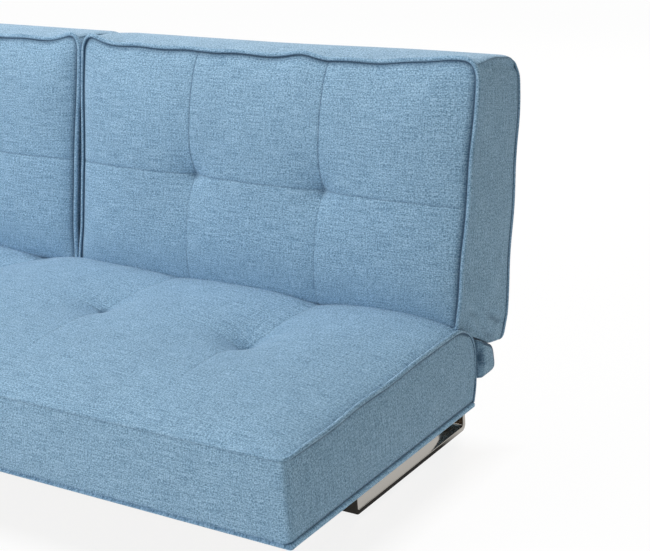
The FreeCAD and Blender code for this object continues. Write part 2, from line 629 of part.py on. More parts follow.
def back_parts():
    """Cover, foam, frame and arm bolts of each back."""
    made = {}
    for name, side in SIDES.items():
        cover, foam = skin(back_outline(), side * BACKS_APART / 2, side * HALF)
        stile_out = side * (HALF - BACK_FRAME_SET_IN)
        stile_in = side * (BACKS_APART / 2 + BACK_FRAME_SET_IN + PLATE_T)
        pocket = box(stile_in, stile_out, BACK_FRAME_Y0 - SPRING_ROOM, BACK_FRAME_Y1 + BACK_PANEL_T,
                     0, BACK_FRAME_TOP)
        foam = foam.cut(pocket)
        bolts = []
        nuts = []
        for _, owner, face, out in hinges():
            if owner != name:
                continue
            slot = arm_slot(face, out)
            cover = cover.cut(slot)
            foam = foam.cut(slot)
            middle_y = BACK_FRAME_Y0 + TUBE_H / 2
            for z in arm_bolt_levels():
                head_x = face + out * PLATE_T
                head = rod(M8_R * HEAD_OVER_R, head_x, head_x + out * HEAD_H, middle_y, z)
                tail_x = face - out * (TUBE_WALL + NUT_H)
                shank = rod(M8_R, tail_x, head_x, middle_y, z)
                bolts.append(lean(head.fuse(shank).removeSplitter()))
                nut = rod(M8_R * HEAD_OVER_R, face - out * TUBE_WALL, tail_x, middle_y, z)
                nuts.append(lean(nut.cut(shank)))
        made["back_%s_cover" % name] = lean(cover)
        made["back_%s_foam" % name] = lean(foam)
        for node, shapes in back_frame(name, side).items():
            shapes = shapes if isinstance(shapes, list) else [shapes]
            made[node] = [lean(shape) for shape in shapes]
        made["back_%s_arm_bolts" % name] = bolts
        made["back_%s_arm_nuts" % name] = nuts
    return made


# ---- Export -----------------------------------------------------------------------------------
def export(node, shapes):
    """Write one node, moved so that the origin is at the middle of the footprint."""
    shapes = shapes if isinstance(shapes, list) else [shapes]
    shape = shapes[0] if len(shapes) == 1 else Part.makeCompound(shapes)
    shape = shape.copy()
    shape.translate(V(0, -CENTRE_Y, 0))
    shape.exportStep(os.path.join("parts", node + ".step"))


def main():
    """Make every piece and write it out."""
    os.makedirs("parts", exist_ok=True)
    pieces = {}
    for make in (seat_cushion, seat_hem, seat_frame, seat_springs, seat_dust_cover, leg_parts,
                 hinge_parts, hinge_pads, back_parts):
        pieces.update(make())
    for node, shapes in pieces.items():
        export(node, shapes)
    print("pivot", round(PIVOT_Y - CENTRE_Y, 3), round(PIVOT_Z, 3))


main()
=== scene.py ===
"""Futon sofa bed: cushions, piping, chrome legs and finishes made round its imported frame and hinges."""
import json
import math

import bpy
import numpy as np
from bpy.props import FloatProperty, FloatVectorProperty, IntProperty, PointerProperty
from mathutils import Matrix, Vector


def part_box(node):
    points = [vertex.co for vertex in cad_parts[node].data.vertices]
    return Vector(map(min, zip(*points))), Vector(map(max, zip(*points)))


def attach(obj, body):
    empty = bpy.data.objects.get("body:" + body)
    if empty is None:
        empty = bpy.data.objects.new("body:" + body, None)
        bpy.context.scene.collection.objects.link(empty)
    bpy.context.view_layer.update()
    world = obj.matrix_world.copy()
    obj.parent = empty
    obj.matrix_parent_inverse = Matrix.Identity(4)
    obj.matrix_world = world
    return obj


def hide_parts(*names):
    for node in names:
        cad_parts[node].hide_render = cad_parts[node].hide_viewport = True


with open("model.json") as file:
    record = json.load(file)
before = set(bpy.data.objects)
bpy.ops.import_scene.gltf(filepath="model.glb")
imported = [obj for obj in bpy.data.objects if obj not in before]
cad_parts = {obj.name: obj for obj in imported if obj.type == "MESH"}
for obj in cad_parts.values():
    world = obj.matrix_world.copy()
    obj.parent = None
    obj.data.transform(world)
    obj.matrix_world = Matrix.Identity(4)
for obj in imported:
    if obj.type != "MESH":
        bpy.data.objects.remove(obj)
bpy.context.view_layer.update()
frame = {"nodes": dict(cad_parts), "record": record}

bl_info = {
    "name": "Futon Sofa Bed",
    "version": (1, 0, 0),
    "blender": (4, 5, 0),
    "location": "3D View > Sidebar > Sofa Bed",
    "description": "Tufted cushions, piping, chrome sled legs and a plain studio for a futon sofa bed",
    "category": "Add Mesh",
}

SEAT_LOW, SEAT_HIGH = (np.array(corner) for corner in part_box("seat_cover"))
HEM_LOW, HEM_HIGH = (np.array(corner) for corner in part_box("seat_hem_boards"))
SIDES = {"right": 1, "left": -1}


# ---- Sizes and colours ------------------------------------------------------------------------
def length(name, default, description):
    """A length in metres that a user may change."""
    return FloatProperty(name=name, description=description, default=default, unit="LENGTH")


def finish_colour(name, default, description):
    """A linear colour that a user may change."""
    return FloatVectorProperty(name=name, description=description, default=default, size=3, subtype="COLOR")


class SofaSizes(bpy.types.PropertyGroup):
    """Sizes of the upholstery and legs, in metres."""

    step: length("Grid step", 0.009, "Spacing of the cloth's grid")
    piping_radius: length("Piping radius", 0.0052, "Radius of the covered cord along the edges")
    piping_proud: length("Piping proud", 0.0030, "How far the cord's middle stands out of the sewn edge")
    seam_depth: length("Seam depth", 0.0014, "How far a stitched line sits in the cloth")
    front_height: length("Seat front height", 0.144, "Seat cushion at its front, above the hem")
    seat_slope: FloatProperty(
        name="Seat slope", description="Rise of the seat top for each metre towards the back",
        default=0.016 / 0.565)
    seat_rear_radius: length("Seat rear radius", 0.080, "Round of the seat's top rear edge")
    seat_crown: length("Seat crown", 0.024, "Height of the seat pillows above their edges")
    seat_tuft_depth: length("Seat tuft depth", 0.034, "How deep a seat tuft is drawn in")
    tuft_row: length("Seat tuft row", 0.370, "Tufts, behind the front of the seat")
    tuft_inner: length("Inner seat tufts", 0.224, "Inner tufts, from the middle of the seat")
    tuft_outer: length("Outer seat tufts", 0.592, "Outer tufts, from the middle of the seat")
    tuft_stagger: length("Tuft stagger", 0.014, "Outer tufts, ahead of the row, and inner ones behind it")
    seam_splay: FloatProperty(
        name="Seam splay", description="Sideways run of a seat seam for each metre behind its tuft",
        default=0.26)
    lean: FloatProperty(
        name="Back lean", description="Lean of a back from upright", default=math.radians(11),
        subtype="ANGLE")
    meeting_y: length("Meeting line Y", 0.1525, "Where the front of a back meets the seat top")
    meeting_z: length("Meeting line Z", 0.342, "Height of the line where back and seat meet")
    back_thickness: length("Back thickness", 0.176, "Front to rear of a back")
    back_top: length("Back top", 0.493, "Top of a back, up its slope from the meeting line")
    back_bottom: length("Back bottom", 0.046, "Rear of a back's underside, below the meeting line")
    back_toe: length("Back toe", 0.002, "Lower front edge of a back, above the meeting line")
    back_heel: length("Back heel", 0.130, "Where the sloping underside reaches its lowest level")
    back_crown: length("Back crown", 0.030, "Height of the back pillows above their edges")
    back_tuft_depth: length("Back tuft depth", 0.025, "How deep a back tuft is drawn in")
    back_column: length("Back column", 0.310, "Width of one column of a back")
    back_tuft_row: length("Back tuft row", 0.228, "Tufts, up the slope from the meeting line")
    backs_apart: length("Gap between backs", 0.004, "Space between the two backs")
    leg_bend: length("Leg bend", 0.014, "Outside radius of the leg bar's bends")
    leg_edge: length("Leg edge", 0.0012, "Rounding of the leg bar's long edges")
    leg_thickness: length("Leg thickness", 0.010, "Thickness of the leg bar")
    settle_frames: IntProperty(
        name="Settling steps", description="Cloth steps that fill the pillows", default=14, min=1)


class SofaColours(bpy.types.PropertyGroup):
    """Colours of the finishes, linear."""

    cover: finish_colour("Cover", (0.236, 0.387, 0.557), "Woven cover cloth")
    cover_light: finish_colour("Cover slubs", (0.400, 0.588, 0.762), "Pale slubs in the cloth")
    # The cover's shadow colour, also the base of the cloth's painted shade in seams, creases and edges.
    cover_dark: finish_colour(
        "Cover shadows", (0.078, 0.168, 0.260), "Cloth between the threads and in seams")
    chrome: finish_colour("Chrome", (0.37, 0.35, 0.32), "Plated leg bar")
    zinc: finish_colour("Zinc", (0.58, 0.58, 0.55), "Plated bolts and nuts")
    black_paint: finish_colour("Black paint", (0.022, 0.022, 0.024), "Painted tube and plates")
    glide: finish_colour("Glide", (0.02, 0.02, 0.02), "Moulded glides under the legs")
    foam: finish_colour("Foam", (0.72, 0.66, 0.46), "Cushion foam")
    foam_speck: finish_colour("Foam specks", (0.62, 0.55, 0.36), "Pores of the foam")
    dust_cloth: finish_colour("Dust cloth", (0.34, 0.27, 0.21), "Cloth under the seat")
    dust_speck: finish_colour("Dust cloth specks", (0.46, 0.38, 0.30), "Fibres of the dust cloth")
    board: finish_colour("Board", (0.22, 0.14, 0.075), "Hem boards and rear panels")
    board_speck: finish_colour("Board specks", (0.30, 0.20, 0.11), "Fibres of the board")
    floor: finish_colour("Floor", (0.86, 0.86, 0.86), "Pale studio floor")


# ---- Small tools ------------------------------------------------------------------------------
# Narrow rows of a grid beside a panel's edge, and its upright step in grid steps.
CLOSE_ROWS = (0.0025, 0.0050, 0.0075, 0.0110)
UPRIGHT_STEP = 1.3
SUBSURF_LEVELS = 1
# Filling: what is held round a tuft, the strip let go bit by bit along an edge, and the longest move.
TUFT_HELD, EDGE_FREED, FILL_CAP = 0.010, 0.06, 0.006
FILL_PRESSURE, FILL_STIFFNESS = 3.0, 45.0
# Step of a cord's path, and how often its points are averaged.
PATH_STEP, PATH_ROUNDS = 0.006, 3
# Corners of a cell, turned the other way round from the same first one.
BACKWARDS = [0, 3, 2, 1]


def graded(marks, step, fine=(0.0025, 0.0065)):
    """Rising places through all the marks: even steps between them, and narrow steps beside each one."""
    places = [np.array([marks[0]])]
    fine = np.array(fine)
    for low, high in zip(marks[:-1], marks[1:]):
        start, end = low + fine[-1], high - fine[-1]
        count = max(1, round((end - start) / step))
        between = np.linspace(start, end, count + 1)[1:-1]
        places.append(np.concatenate([low + fine, between, (high - fine)[::-1], [high]]))
    return np.concatenate(places)


def smooth_step(value, low, high):
    """0 below low, 1 above high, and 3t^2 - 2t^3 between them, t being the share of the way."""
    t = np.clip((value - low) / (high - low), 0, 1)
    return t * t * (3 - 2 * t)


def fall(value, low, high):
    """1 below low, 0 above high: what smooth_step leaves."""
    return 1 - smooth_step(value, low, high)


def inside(values):
    """Distance of each value from the nearer end of their range."""
    return np.minimum(values - values.min(), values.max() - values)


def bell(distance, width):
    """A bell over a line: exp(-(distance / width)^2)."""
    return np.exp(-(distance / width) ** 2)


def cells(grid):
    """The four corners of every cell of a grid, in turn round the cell."""
    return np.stack([grid[:-1, :-1], grid[1:, :-1], grid[1:, 1:], grid[:-1, 1:]], axis=2)


def outward(places, quads):
    """The quads, turned round if the volume they enclose comes out negative."""
    a, b, c, d = (places[quads[:, i]] for i in range(4))
    volume = np.einsum("ij,ij->i", a, np.cross(b, c)) + np.einsum("ij,ij->i", a, np.cross(c, d))
    return quads[:, ::-1] if volume.sum() < 0 else quads


class Shell:
    """Closed box of quads over three rows of places: every grid point on its six sides,
    shared at the edges."""

    def __init__(self, a, b, c):
        """Number the points on the box's skin, then gather each side's cells and flat places."""
        counts = (len(a), len(b), len(c))
        i, j, k = np.meshgrid(*[np.arange(n) for n in counts], indexing="ij")
        skin = (i % (counts[0] - 1) == 0) | (j % (counts[1] - 1) == 0) | (k % (counts[2] - 1) == 0)
        self.number = np.full(counts, -1)
        self.number[skin] = np.arange(skin.sum())
        self.flat = np.stack([a[i[skin]], b[j[skin]], c[k[skin]]], axis=1)
        sheets = [(self.number[0], True, (2, 1)), (self.number[-1], False, (2, 1)),
                  (self.number[:, 0], False, (0, 2)), (self.number[:, -1], True, (0, 2)),
                  (self.number[:, :, 0], True, (0, 1)), (self.number[:, :, -1], False, (0, 1))]
        quads, uv = [], []
        for sheet, turned, axes in sheets:
            quad = cells(sheet).reshape(-1, 4)
            quad = quad[:, ::-1] if turned else quad
            quads.append(quad)
            uv.append(self.flat[quad][:, :, axes])
        self.quads = np.concatenate(quads)
        self.uv = np.concatenate(uv)


def round_edge(p, p_end, p_way, q, q_end, q_way, radius):
    """Near the edge where p reaches p_end and q reaches q_end, squares about the centre of the round
    become circles: the offset from the centre is scaled by its larger part over its length."""
    dp, dq = p_way * (p - p_end) + radius, q_way * (q - q_end) + radius
    near = (dp > 0) & (dq > 0)
    scale = np.where(near, np.maximum(dp, dq) / np.maximum(np.hypot(dp, dq), 1e-9), 1)
    return (np.where(near, p_end + p_way * (dp * scale - radius), p),
            np.where(near, q_end + q_way * (dq * scale - radius), q))


def add_mesh(name, places, quads, uv=None, caps=()):
    """Mesh object at the origin, smooth shaded, with its cloth UVs in metres."""
    mesh = bpy.data.meshes.new(name)
    mesh.from_pydata(places.tolist(), [], quads.tolist() + [list(cap) for cap in caps])
    mesh.polygons.foreach_set("use_smooth", np.ones(len(mesh.polygons), bool))
    layer = mesh.uv_layers.new(name="cloth")
    if uv is not None:
        values = np.zeros((len(mesh.loops), 2), np.float32)
        values[:uv.size // 2] = uv.reshape(-1, 2)
        layer.data.foreach_set("uv", values.ravel())
    mesh.update()
    piece = bpy.data.objects.new(name, mesh)
    bpy.context.scene.collection.objects.link(piece)
    return piece


def places_of(mesh):
    """Vertex places of a mesh as an array."""
    values = np.zeros(len(mesh.vertices) * 3, np.float32)
    mesh.vertices.foreach_get("co", values)
    return values.reshape(-1, 3).astype(float)


def normals_of(piece):
    """Vertex normals of a piece's own mesh."""
    values = np.zeros(len(piece.data.vertices) * 3, np.float32)
    piece.data.vertex_normals.foreach_get("vector", values)
    return values.reshape(-1, 3).astype(float)


def move_to(piece, places):
    """Put a piece's vertices at the given places."""
    piece.data.vertices.foreach_set("co", places.astype(np.float32).ravel())
    piece.data.update()


def set_share(piece, name, values):
    """Store one number per vertex under a name that materials read."""
    attribute = piece.data.attributes.get(name) or piece.data.attributes.new(name, "FLOAT", "POINT")
    attribute.data.foreach_set("value", values.astype(np.float32))


def subdivide(piece):
    """Live subdivision surface, the same in the view and in a render."""
    modifier = piece.modifiers.new("smooth", "SUBSURF")
    modifier.levels = SUBSURF_LEVELS
    modifier.render_levels = SUBSURF_LEVELS
    modifier.uv_smooth = "PRESERVE_BOUNDARIES"


def unit(vectors):
    """Each row of the vectors divided by its own length."""
    return vectors / np.linalg.norm(vectors, axis=1, keepdims=True)


def even_path(points, closed):
    """The line through the points at even steps of its length. Each point is then
    averaged with its two neighbours, itself counted twice, a few times over."""
    line = np.concatenate([points, points[:1]]) if closed else points
    reach = np.concatenate([[0], np.cumsum(np.linalg.norm(np.diff(line, axis=0), axis=1))])
    count = max(8, int(reach[-1] / PATH_STEP))
    wanted = np.linspace(0, reach[-1], count, endpoint=not closed)
    path = np.stack([np.interp(wanted, reach, line[:, axis]) for axis in range(3)], axis=1)
    for _ in range(PATH_ROUNDS):
        if closed:
            path = (np.roll(path, 1, 0) + 2 * path + np.roll(path, -1, 0)) / 4
        else:
            path[1:-1] = (path[:-2] + 2 * path[1:-1] + path[2:]) / 4
    return path


def tube(name, path, guide, radius, closed, shade, tone=0.0, sides=12):
    """Round cord along a path: at each point a circle of the given radius, measured from
    the guide direction made square to the path. The shade is painted shade on its half
    towards the panels, where it meets them, and the tone painted shade all round it."""
    along = np.roll(path, -1, 0) - np.roll(path, 1, 0) if closed else np.gradient(path, axis=0)
    along = unit(along)
    side = unit(guide - np.einsum("ij,ij->i", guide, along)[:, None] * along)
    up = np.cross(along, side)
    angle = np.arange(sides) * 2 * math.pi / sides
    radius = np.broadcast_to(radius, len(path))[:, None, None]
    rings = path[:, None] + radius * (np.cos(angle)[None, :, None] * side[:, None]
                                      + np.sin(angle)[None, :, None] * up[:, None])
    cord = loft(name, rings, closed)
    shade, tone = (np.broadcast_to(value, len(path))[:, None] for value in (shade, tone))
    # Painted shade on the cord's half towards the panels.
    inner = smooth_step(-np.cos(angle), -0.25, 0.35)[None, :]
    set_share(cord, "seam", np.maximum(shade * inner, tone).ravel())
    return cord


def loft(name, rings, closed):
    """Skin over a row of closed rings, each ring joined to the next by quads."""
    count, sides = rings.shape[:2]
    number = np.arange(count * sides).reshape(count, sides)
    number = np.concatenate([number, number[:, :1]], axis=1)
    around = np.linalg.norm(np.diff(rings[0], axis=0), axis=1).mean() * np.arange(sides + 1)
    steps = np.linalg.norm(np.diff(rings.mean(axis=1), axis=0), axis=1)
    run = np.concatenate([[0], np.cumsum(steps)])
    if closed:
        number = np.concatenate([number, number[:1]])
        run = np.concatenate([run, [run[-1] + steps.mean()]])
    quads = cells(number)[:, :, BACKWARDS].reshape(-1, 4)
    uv = np.stack(np.meshgrid(run, around, indexing="ij"), axis=-1)
    uv = cells(uv)[:, :, BACKWARDS].reshape(-1, 4, 2)
    places = rings.reshape(-1, 3)
    turned = outward(places, quads)
    if turned is not quads:
        uv = uv[:, ::-1]
    caps = []
    if not closed:
        caps = [number[0, :-1].tolist(), number[-1, :-1][::-1].tolist()]
        if turned is quads:
            caps = [cap[::-1] for cap in caps]
    return add_mesh(name, places, turned, uv, caps)


def rounded_ring(low, high, radius, corner=6, side=12):
    """Closed outline of a rectangle with round corners, as (p, q) places in the order of a full turn."""
    turn = np.linspace(0, math.pi / 2, corner)
    share = np.linspace(0, 1, side + 2)[1:-1]
    (p0, q0), (p1, q1) = low, high
    parts = []
    centres = [(p1 - radius, q1 - radius), (p0 + radius, q1 - radius), (p0 + radius, q0 + radius),
               (p1 - radius, q0 + radius)]
    for quarter, (p, q) in enumerate(centres):
        angle = turn + quarter * math.pi / 2
        arc = np.stack([p + radius * np.cos(angle), q + radius * np.sin(angle)], axis=1)
        after = centres[(quarter + 1) % 4]
        first = np.array([after[0] + radius * math.cos(angle[-1]), after[1] + radius * math.sin(angle[-1])])
        parts += [arc, arc[-1] + (first - arc[-1]) * share[:, None]]
    return np.concatenate(parts)


def seam_ways(p, q, seams, row):
    """Distances from the nearest column seam, from the cross seam and from the nearest tuft."""
    column, cross = np.abs(p[:, None] - seams).min(axis=1), np.abs(q - row)
    return column, cross, np.hypot(column, cross)


def settle(piece, panel, edge, tuft, frames, kept=0.0):
    """Fill a piece's panel as cloth under air pressure, without gravity. The tufts and all off the
    panel are held (1), the hold falls to 0 over a strip along the panel's edge, and kept is held as
    well. No vertex ends more than a cap from where it began: start + move * min(1, cap / length)."""
    held = np.where(panel & (tuft >= TUFT_HELD), fall(edge, 0.0, EDGE_FREED), 1.0)
    held = np.maximum(held, kept)
    start = places_of(piece.data)
    group = piece.vertex_groups.new(name="held")
    levels = np.round(held, 2)
    for level in np.unique(levels[levels > 0]):
        group.add(np.flatnonzero(levels == level).tolist(), float(level), "REPLACE")
    cloth = piece.modifiers.new("settle", "CLOTH")
    for key, value in {
            "quality": 6, "mass": 0.25, "air_damping": 4, "tension_stiffness": FILL_STIFFNESS,
            "compression_stiffness": FILL_STIFFNESS, "shear_stiffness": FILL_STIFFNESS * 0.4,
            "bending_stiffness": 0.6, "tension_damping": 10, "compression_damping": 10,
            "vertex_group_mass": "held", "use_pressure": True,
            "uniform_pressure_force": FILL_PRESSURE}.items():
        setattr(cloth.settings, key, value)
    cloth.settings.effector_weights.gravity = 0
    cloth.collision_settings.use_collision = False
    cloth.point_cache.frame_start = 1
    cloth.point_cache.frame_end = frames
    scene = bpy.context.scene
    for number in range(1, frames + 1):
        scene.frame_set(number)
    filled = places_of(piece.evaluated_get(bpy.context.evaluated_depsgraph_get()).data)
    piece.modifiers.remove(cloth)
    piece.vertex_groups.remove(group)
    scene.frame_set(1)
    move = filled - start
    moved = np.linalg.norm(move, axis=1, keepdims=True)
    move_to(piece, start + move * np.minimum(1, FILL_CAP / np.maximum(moved, 1e-9)))


# ---- Materials --------------------------------------------------------------------------------
class Nodes:
    """Short way to write the nodes of a material or a world."""

    def __init__(self, owner):
        """Take the node tree of a material or a world."""
        owner.use_nodes = True
        self.owner, self.tree = owner, owner.node_tree
        self.shader = self.tree.nodes.get("Principled BSDF")

    def on_object(self):
        """Place on the object, in metres."""
        return self.add("ShaderNodeTexCoord").outputs["Object"]

    def add(self, kind, inputs=(), **settings):
        """New node with its settings and its inputs, each a value or a socket to link."""
        node = self.tree.nodes.new(kind)
        for key, value in settings.items():
            setattr(node, key, value)
        for key, value in dict(inputs).items():
            self.put(value, node.inputs[key])
        return node

    def put(self, value, socket):
        """Link a socket to an input, or set the input to a value."""
        if isinstance(value, bpy.types.NodeSocket):
            self.tree.links.new(value, socket)
        else:
            socket.default_value = value

    def math(self, operation, *values):
        """One sum of the values."""
        return self.add("ShaderNodeMath", enumerate(values), operation=operation).outputs[0]

    def remap(self, value, low, high, to_low, to_high):
        """The value carried from low..high to to_low..to_high, and held at both ends."""
        return self.add("ShaderNodeMapRange", {"Value": value, "From Min": low, "From Max": high,
                                               "To Min": to_low, "To Max": to_high}).outputs[0]

    def noise(self, place, scale, detail=2.0, roughness=0.5):
        """Cloudy noise from 0 to 1, with scale repeats per metre."""
        return self.add("ShaderNodeTexNoise", {"Vector": place, "Scale": scale, "Detail": detail,
                                               "Roughness": roughness}).outputs["Fac"]

    def stretched(self, place, scale):
        """The place with each of its parts scaled."""
        return self.add("ShaderNodeMapping", {"Vector": place, "Scale": scale}).outputs[0]

    def mix(self, share, first, second):
        """First colour at share 0, second at share 1."""
        node = self.add("ShaderNodeMix", data_type="RGBA")
        self.put(share, node.inputs[0])
        self.put(first, node.inputs[6])
        self.put(second, node.inputs[7])
        return node.outputs[2]

    def bump(self, height, strength, distance):
        """Normal tilted by the slope of the height."""
        values = {"Height": height, "Strength": strength, "Distance": distance}
        return self.add("ShaderNodeBump", values).outputs[0]

    def surface(self, **values):
        """Set or link the shader's sockets, named with underscores."""
        for key, value in values.items():
            self.put(value, self.shader.inputs[key.replace("_", " ")])
        return self.owner


def material_nodes(name):
    """Nodes of a new material."""
    return Nodes(bpy.data.materials.new("sofa_" + name))


def rgba(colour):
    """Colour with full alpha."""
    return (*colour, 1.0)


# Layers of the weave: share of the height, then repeats per metre across and along the cloth.
THREADS = ((0.15, (20, 480, 1)), (0.11, (520, 30, 1)), (0.30, (230, 680, 1)), (0.26, (680, 250, 1)))
THREAD_PITCH = 0.0016
# Painted shade colour: the cover's shadow colour times these shares.
SEAM_SHADOW = (0.28, 0.36, 0.46)
FINE_DEPTH = 0.0004


def linen(name, colours, lift=1.0):
    """Plain-woven cloth: uneven threads both ways, pale slubs, and dark seams with painted shade in their
    creases, along edges and in tuft pits.
    UVs are metres of cloth. The threads are a weighted sum of stretched noises, and the weave is the
    product of two sines."""
    grain_scale, grain_share, middle, lightest, darkest, dark_share = 620.0, 0.18, 0.50, 0.605, 0.385, 0.9
    cloud_scale, cloud, shade_power, shade_share, weave_share = 9.0, 0.03, 1.6, 0.9, 0.15
    n = material_nodes(name)
    place = n.add("ShaderNodeUVMap", uv_map="cloth").outputs[0]
    threads = 0.0
    for share, scale in THREADS:
        layer = n.noise(n.stretched(place, scale), 1.0, 0.0)
        threads = n.math("ADD", threads, n.math("MULTIPLY", layer, share))
    grain = n.math("MULTIPLY", n.noise(place, grain_scale, 0.0), grain_share)
    threads = n.math("ADD", threads, grain)
    light = n.remap(threads, middle, lightest, 0.0, 1.0)
    dark = n.remap(threads, middle, darkest, 0.0, 1.0)
    base = n.mix(light, rgba(colours.cover), rgba(colours.cover_light))
    base = n.mix(n.math("MULTIPLY", dark, dark_share), base, rgba(colours.cover_dark))
    cloudy = n.noise(n.on_object(), cloud_scale, 3.0, 0.6)
    tone = n.remap(cloudy, 0.3, 0.7, (1 - cloud) * lift, (1 + cloud) * lift)
    base = n.add("ShaderNodeVectorMath", {0: base, "Scale": tone}, operation="SCALE").outputs[0]
    # Painted shade: the 'seam' attribute darkens the cloth towards the shadow colour in seams, creases,
    # along edges, under the piping and in tuft pits.
    seam = n.add("ShaderNodeAttribute", attribute_name="seam").outputs["Fac"]
    shadow = rgba(tuple(value * share for value, share in zip(colours.cover_dark, SEAM_SHADOW)))
    base = n.mix(n.math("MULTIPLY", n.math("POWER", seam, shade_power), shade_share), base, shadow)
    across, along = n.add("ShaderNodeSeparateXYZ", {0: place}).outputs[:2]
    weave = n.math("MULTIPLY", *(n.math("SINE", n.math("MULTIPLY", way, 2 * math.pi / THREAD_PITCH))
                                 for way in (across, along)))
    height = n.math("ADD", n.math("MULTIPLY", weave, weave_share), threads)
    return n.surface(Base_Color=base, Roughness=0.93, Normal=n.bump(height, 0.16, 0.0014),
                     Sheen_Weight=0.12, Sheen_Roughness=0.5, Specular_IOR_Level=0.18)


def chrome(name, colours):
    """Plated steel with a faint long grain and smears."""
    long_grain, smear_scale, polished, smeared = (900, 25, 25), 14.0, 0.07, 0.22
    n = material_nodes(name)
    place = n.on_object()
    grain = n.noise(n.stretched(place, long_grain), 1.0)
    smear = n.noise(place, smear_scale, 3.0, 0.6)
    return n.surface(Base_Color=rgba(colours.chrome), Metallic=1.0, Normal=n.bump(grain, 0.06, FINE_DEPTH),
                     Roughness=n.remap(smear, 0.3, 0.75, polished, smeared))


def paint(name, colour):
    """Satin paint with a slight orange peel and dull rubbed patches."""
    peel_scale, rub_scale, rub_share, satin, dull = 700.0, 35.0, 0.5, 0.36, 0.56
    n = material_nodes(name)
    place = n.on_object()
    rubbed = n.noise(place, rub_scale, 4.0, 0.65)
    pale = tuple(min(1.0, value * 2.2 + 0.01) for value in colour)
    base = n.mix(n.remap(rubbed, 0.5, 0.75, 0.0, rub_share), rgba(colour), rgba(pale))
    return n.surface(Base_Color=base, Roughness=n.remap(rubbed, 0.3, 0.7, satin, dull),
                     Normal=n.bump(n.noise(place, peel_scale), 0.12, FINE_DEPTH))


def plated(name, colour, rough):
    """Zinc or spring steel with cloudy plating and fine drawing marks."""
    cloud_scale, drawn_scale, warming = 90.0, (40, 900, 900), (0.86, 0.80, 0.66)
    warm_share, rougher = 0.7, 0.16
    n = material_nodes(name)
    place = n.on_object()
    cloud = n.noise(place, cloud_scale, 4.0, 0.6)
    drawn = n.noise(n.stretched(place, drawn_scale), 1.0)
    warm = tuple(value * share for value, share in zip(colour, warming))
    base = n.mix(n.remap(cloud, 0.35, 0.7, 0.0, warm_share), rgba(colour), rgba(warm))
    return n.surface(Base_Color=base, Metallic=1.0, Normal=n.bump(drawn, 0.08, FINE_DEPTH),
                     Roughness=n.remap(cloud, 0.3, 0.7, rough, rough + rougher))


def plastic(name, colour):
    """Moulded plastic with a fine grain."""
    grain_scale, cloud_scale, pale_share, paler = 1200.0, 60.0, 0.4, 1.8
    n = material_nodes(name)
    place = n.on_object()
    pale = rgba(tuple(value * paler for value in colour))
    base = n.mix(n.remap(n.noise(place, cloud_scale), 0.4, 0.7, 0.0, pale_share), rgba(colour), pale)
    return n.surface(Base_Color=base, Roughness=0.55,
                     Normal=n.bump(n.noise(place, grain_scale), 0.2, 0.0003))


def fibre(name, colour, other, scale, rough=0.95):
    """Foam, felt or board: two close tones in fine specks."""
    n = material_nodes(name)
    place = n.on_object()
    speck = n.noise(place, scale, 4.0, 0.7)
    base = n.mix(n.remap(speck, 0.38, 0.62, 0.0, 1.0), rgba(colour), rgba(other))
    return n.surface(Base_Color=base, Roughness=rough, Normal=n.bump(speck, 0.4, 0.0008))


def finish(name):
    """A finished material by name, made once. A painted hinge is paler than a frame, a
    spring duller than a bolt."""
    made = bpy.data.materials.get("sofa_" + name)
    if made:
        return made
    colours = bpy.context.scene.sofa_colours
    black, zinc, hem_lift, pocket_lift = colours.black_paint, colours.zinc, 1.30, 0.95
    maker, *values = {
        "cover_fabric": (linen, colours),
        "hem_fabric": (linen, colours, hem_lift),
        "hinge_pad_fabric": (linen, colours, pocket_lift),
        "leg_chrome": (chrome, colours),
        "frame_paint": (paint, black),
        "plate_paint": (paint, black),
        "hinge_paint": (paint, tuple(value * 1.6 for value in black)),
        "spring_steel": (plated, tuple(value * 0.45 for value in zinc), 0.34),
        "zinc_steel": (plated, zinc, 0.26),
        "glide_plastic": (plastic, colours.glide),
        "foam": (fibre, colours.foam, colours.foam_speck, 420.0),
        "dust_cloth": (fibre, colours.dust_cloth, colours.dust_speck, 900.0),
        "panel_board": (fibre, colours.board, colours.board_speck, 260.0, 0.8),
    }[name]
    return maker(name, *values)


def dress(piece, body, slot):
    piece.data.materials.clear()
    piece.data.materials.append(finish(slot))
    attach(piece, body)


# ---- Seat -------------------------------------------------------------------------------------
def seat_grid(sizes):
    """Grid of the seat cushion and the marks of its tufts: x of the column seams, y of the tuft row."""
    seams = np.array([-sizes.tuft_outer, -sizes.tuft_inner, sizes.tuft_inner, sizes.tuft_outer])
    row = SEAT_LOW[1] + sizes.tuft_row
    xs = graded([SEAT_LOW[0], *seams, SEAT_HIGH[0]], sizes.step)
    ys = graded([SEAT_LOW[1], row, SEAT_HIGH[1]], sizes.step)
    zs = graded([SEAT_LOW[2], SEAT_LOW[2] + sizes.front_height], sizes.step * UPRIGHT_STEP, CLOSE_ROWS)
    return Shell(xs, ys, zs), seams, row


def drawn_seams(x, y, level, seams, row, sizes):
    """The seat's top grid moved so that its seams splay outwards behind and ahead of the
    tufts and its tufts stand in a staggered row. Each move is full on the seam and falls
    in a straight line to the next seam."""
    ahead_share, most, stagger_reach, edge_reach = -0.45, 0.050, 0.12, 0.1
    knots = [SEAT_LOW[0], *seams, SEAT_HIGH[0]]
    splay = np.where(y > row, sizes.seam_splay, ahead_share * sizes.seam_splay) * (y - row)
    splay = np.minimum(splay, most)
    sideways = np.interp(x, knots, [0, 0.4, 2.6, 1.1, 0.6, 0]) * splay
    stagger = np.interp(x, knots, [0, -1, 1, 1, -1, 0]) * sizes.tuft_stagger
    stagger = stagger * np.exp(-np.abs(y - row) / stagger_reach)
    edge = np.minimum(y - SEAT_LOW[1], SEAT_HIGH[1] - y)
    return x + sideways * level, y + stagger * level * np.clip(edge / edge_reach, 0, 1)


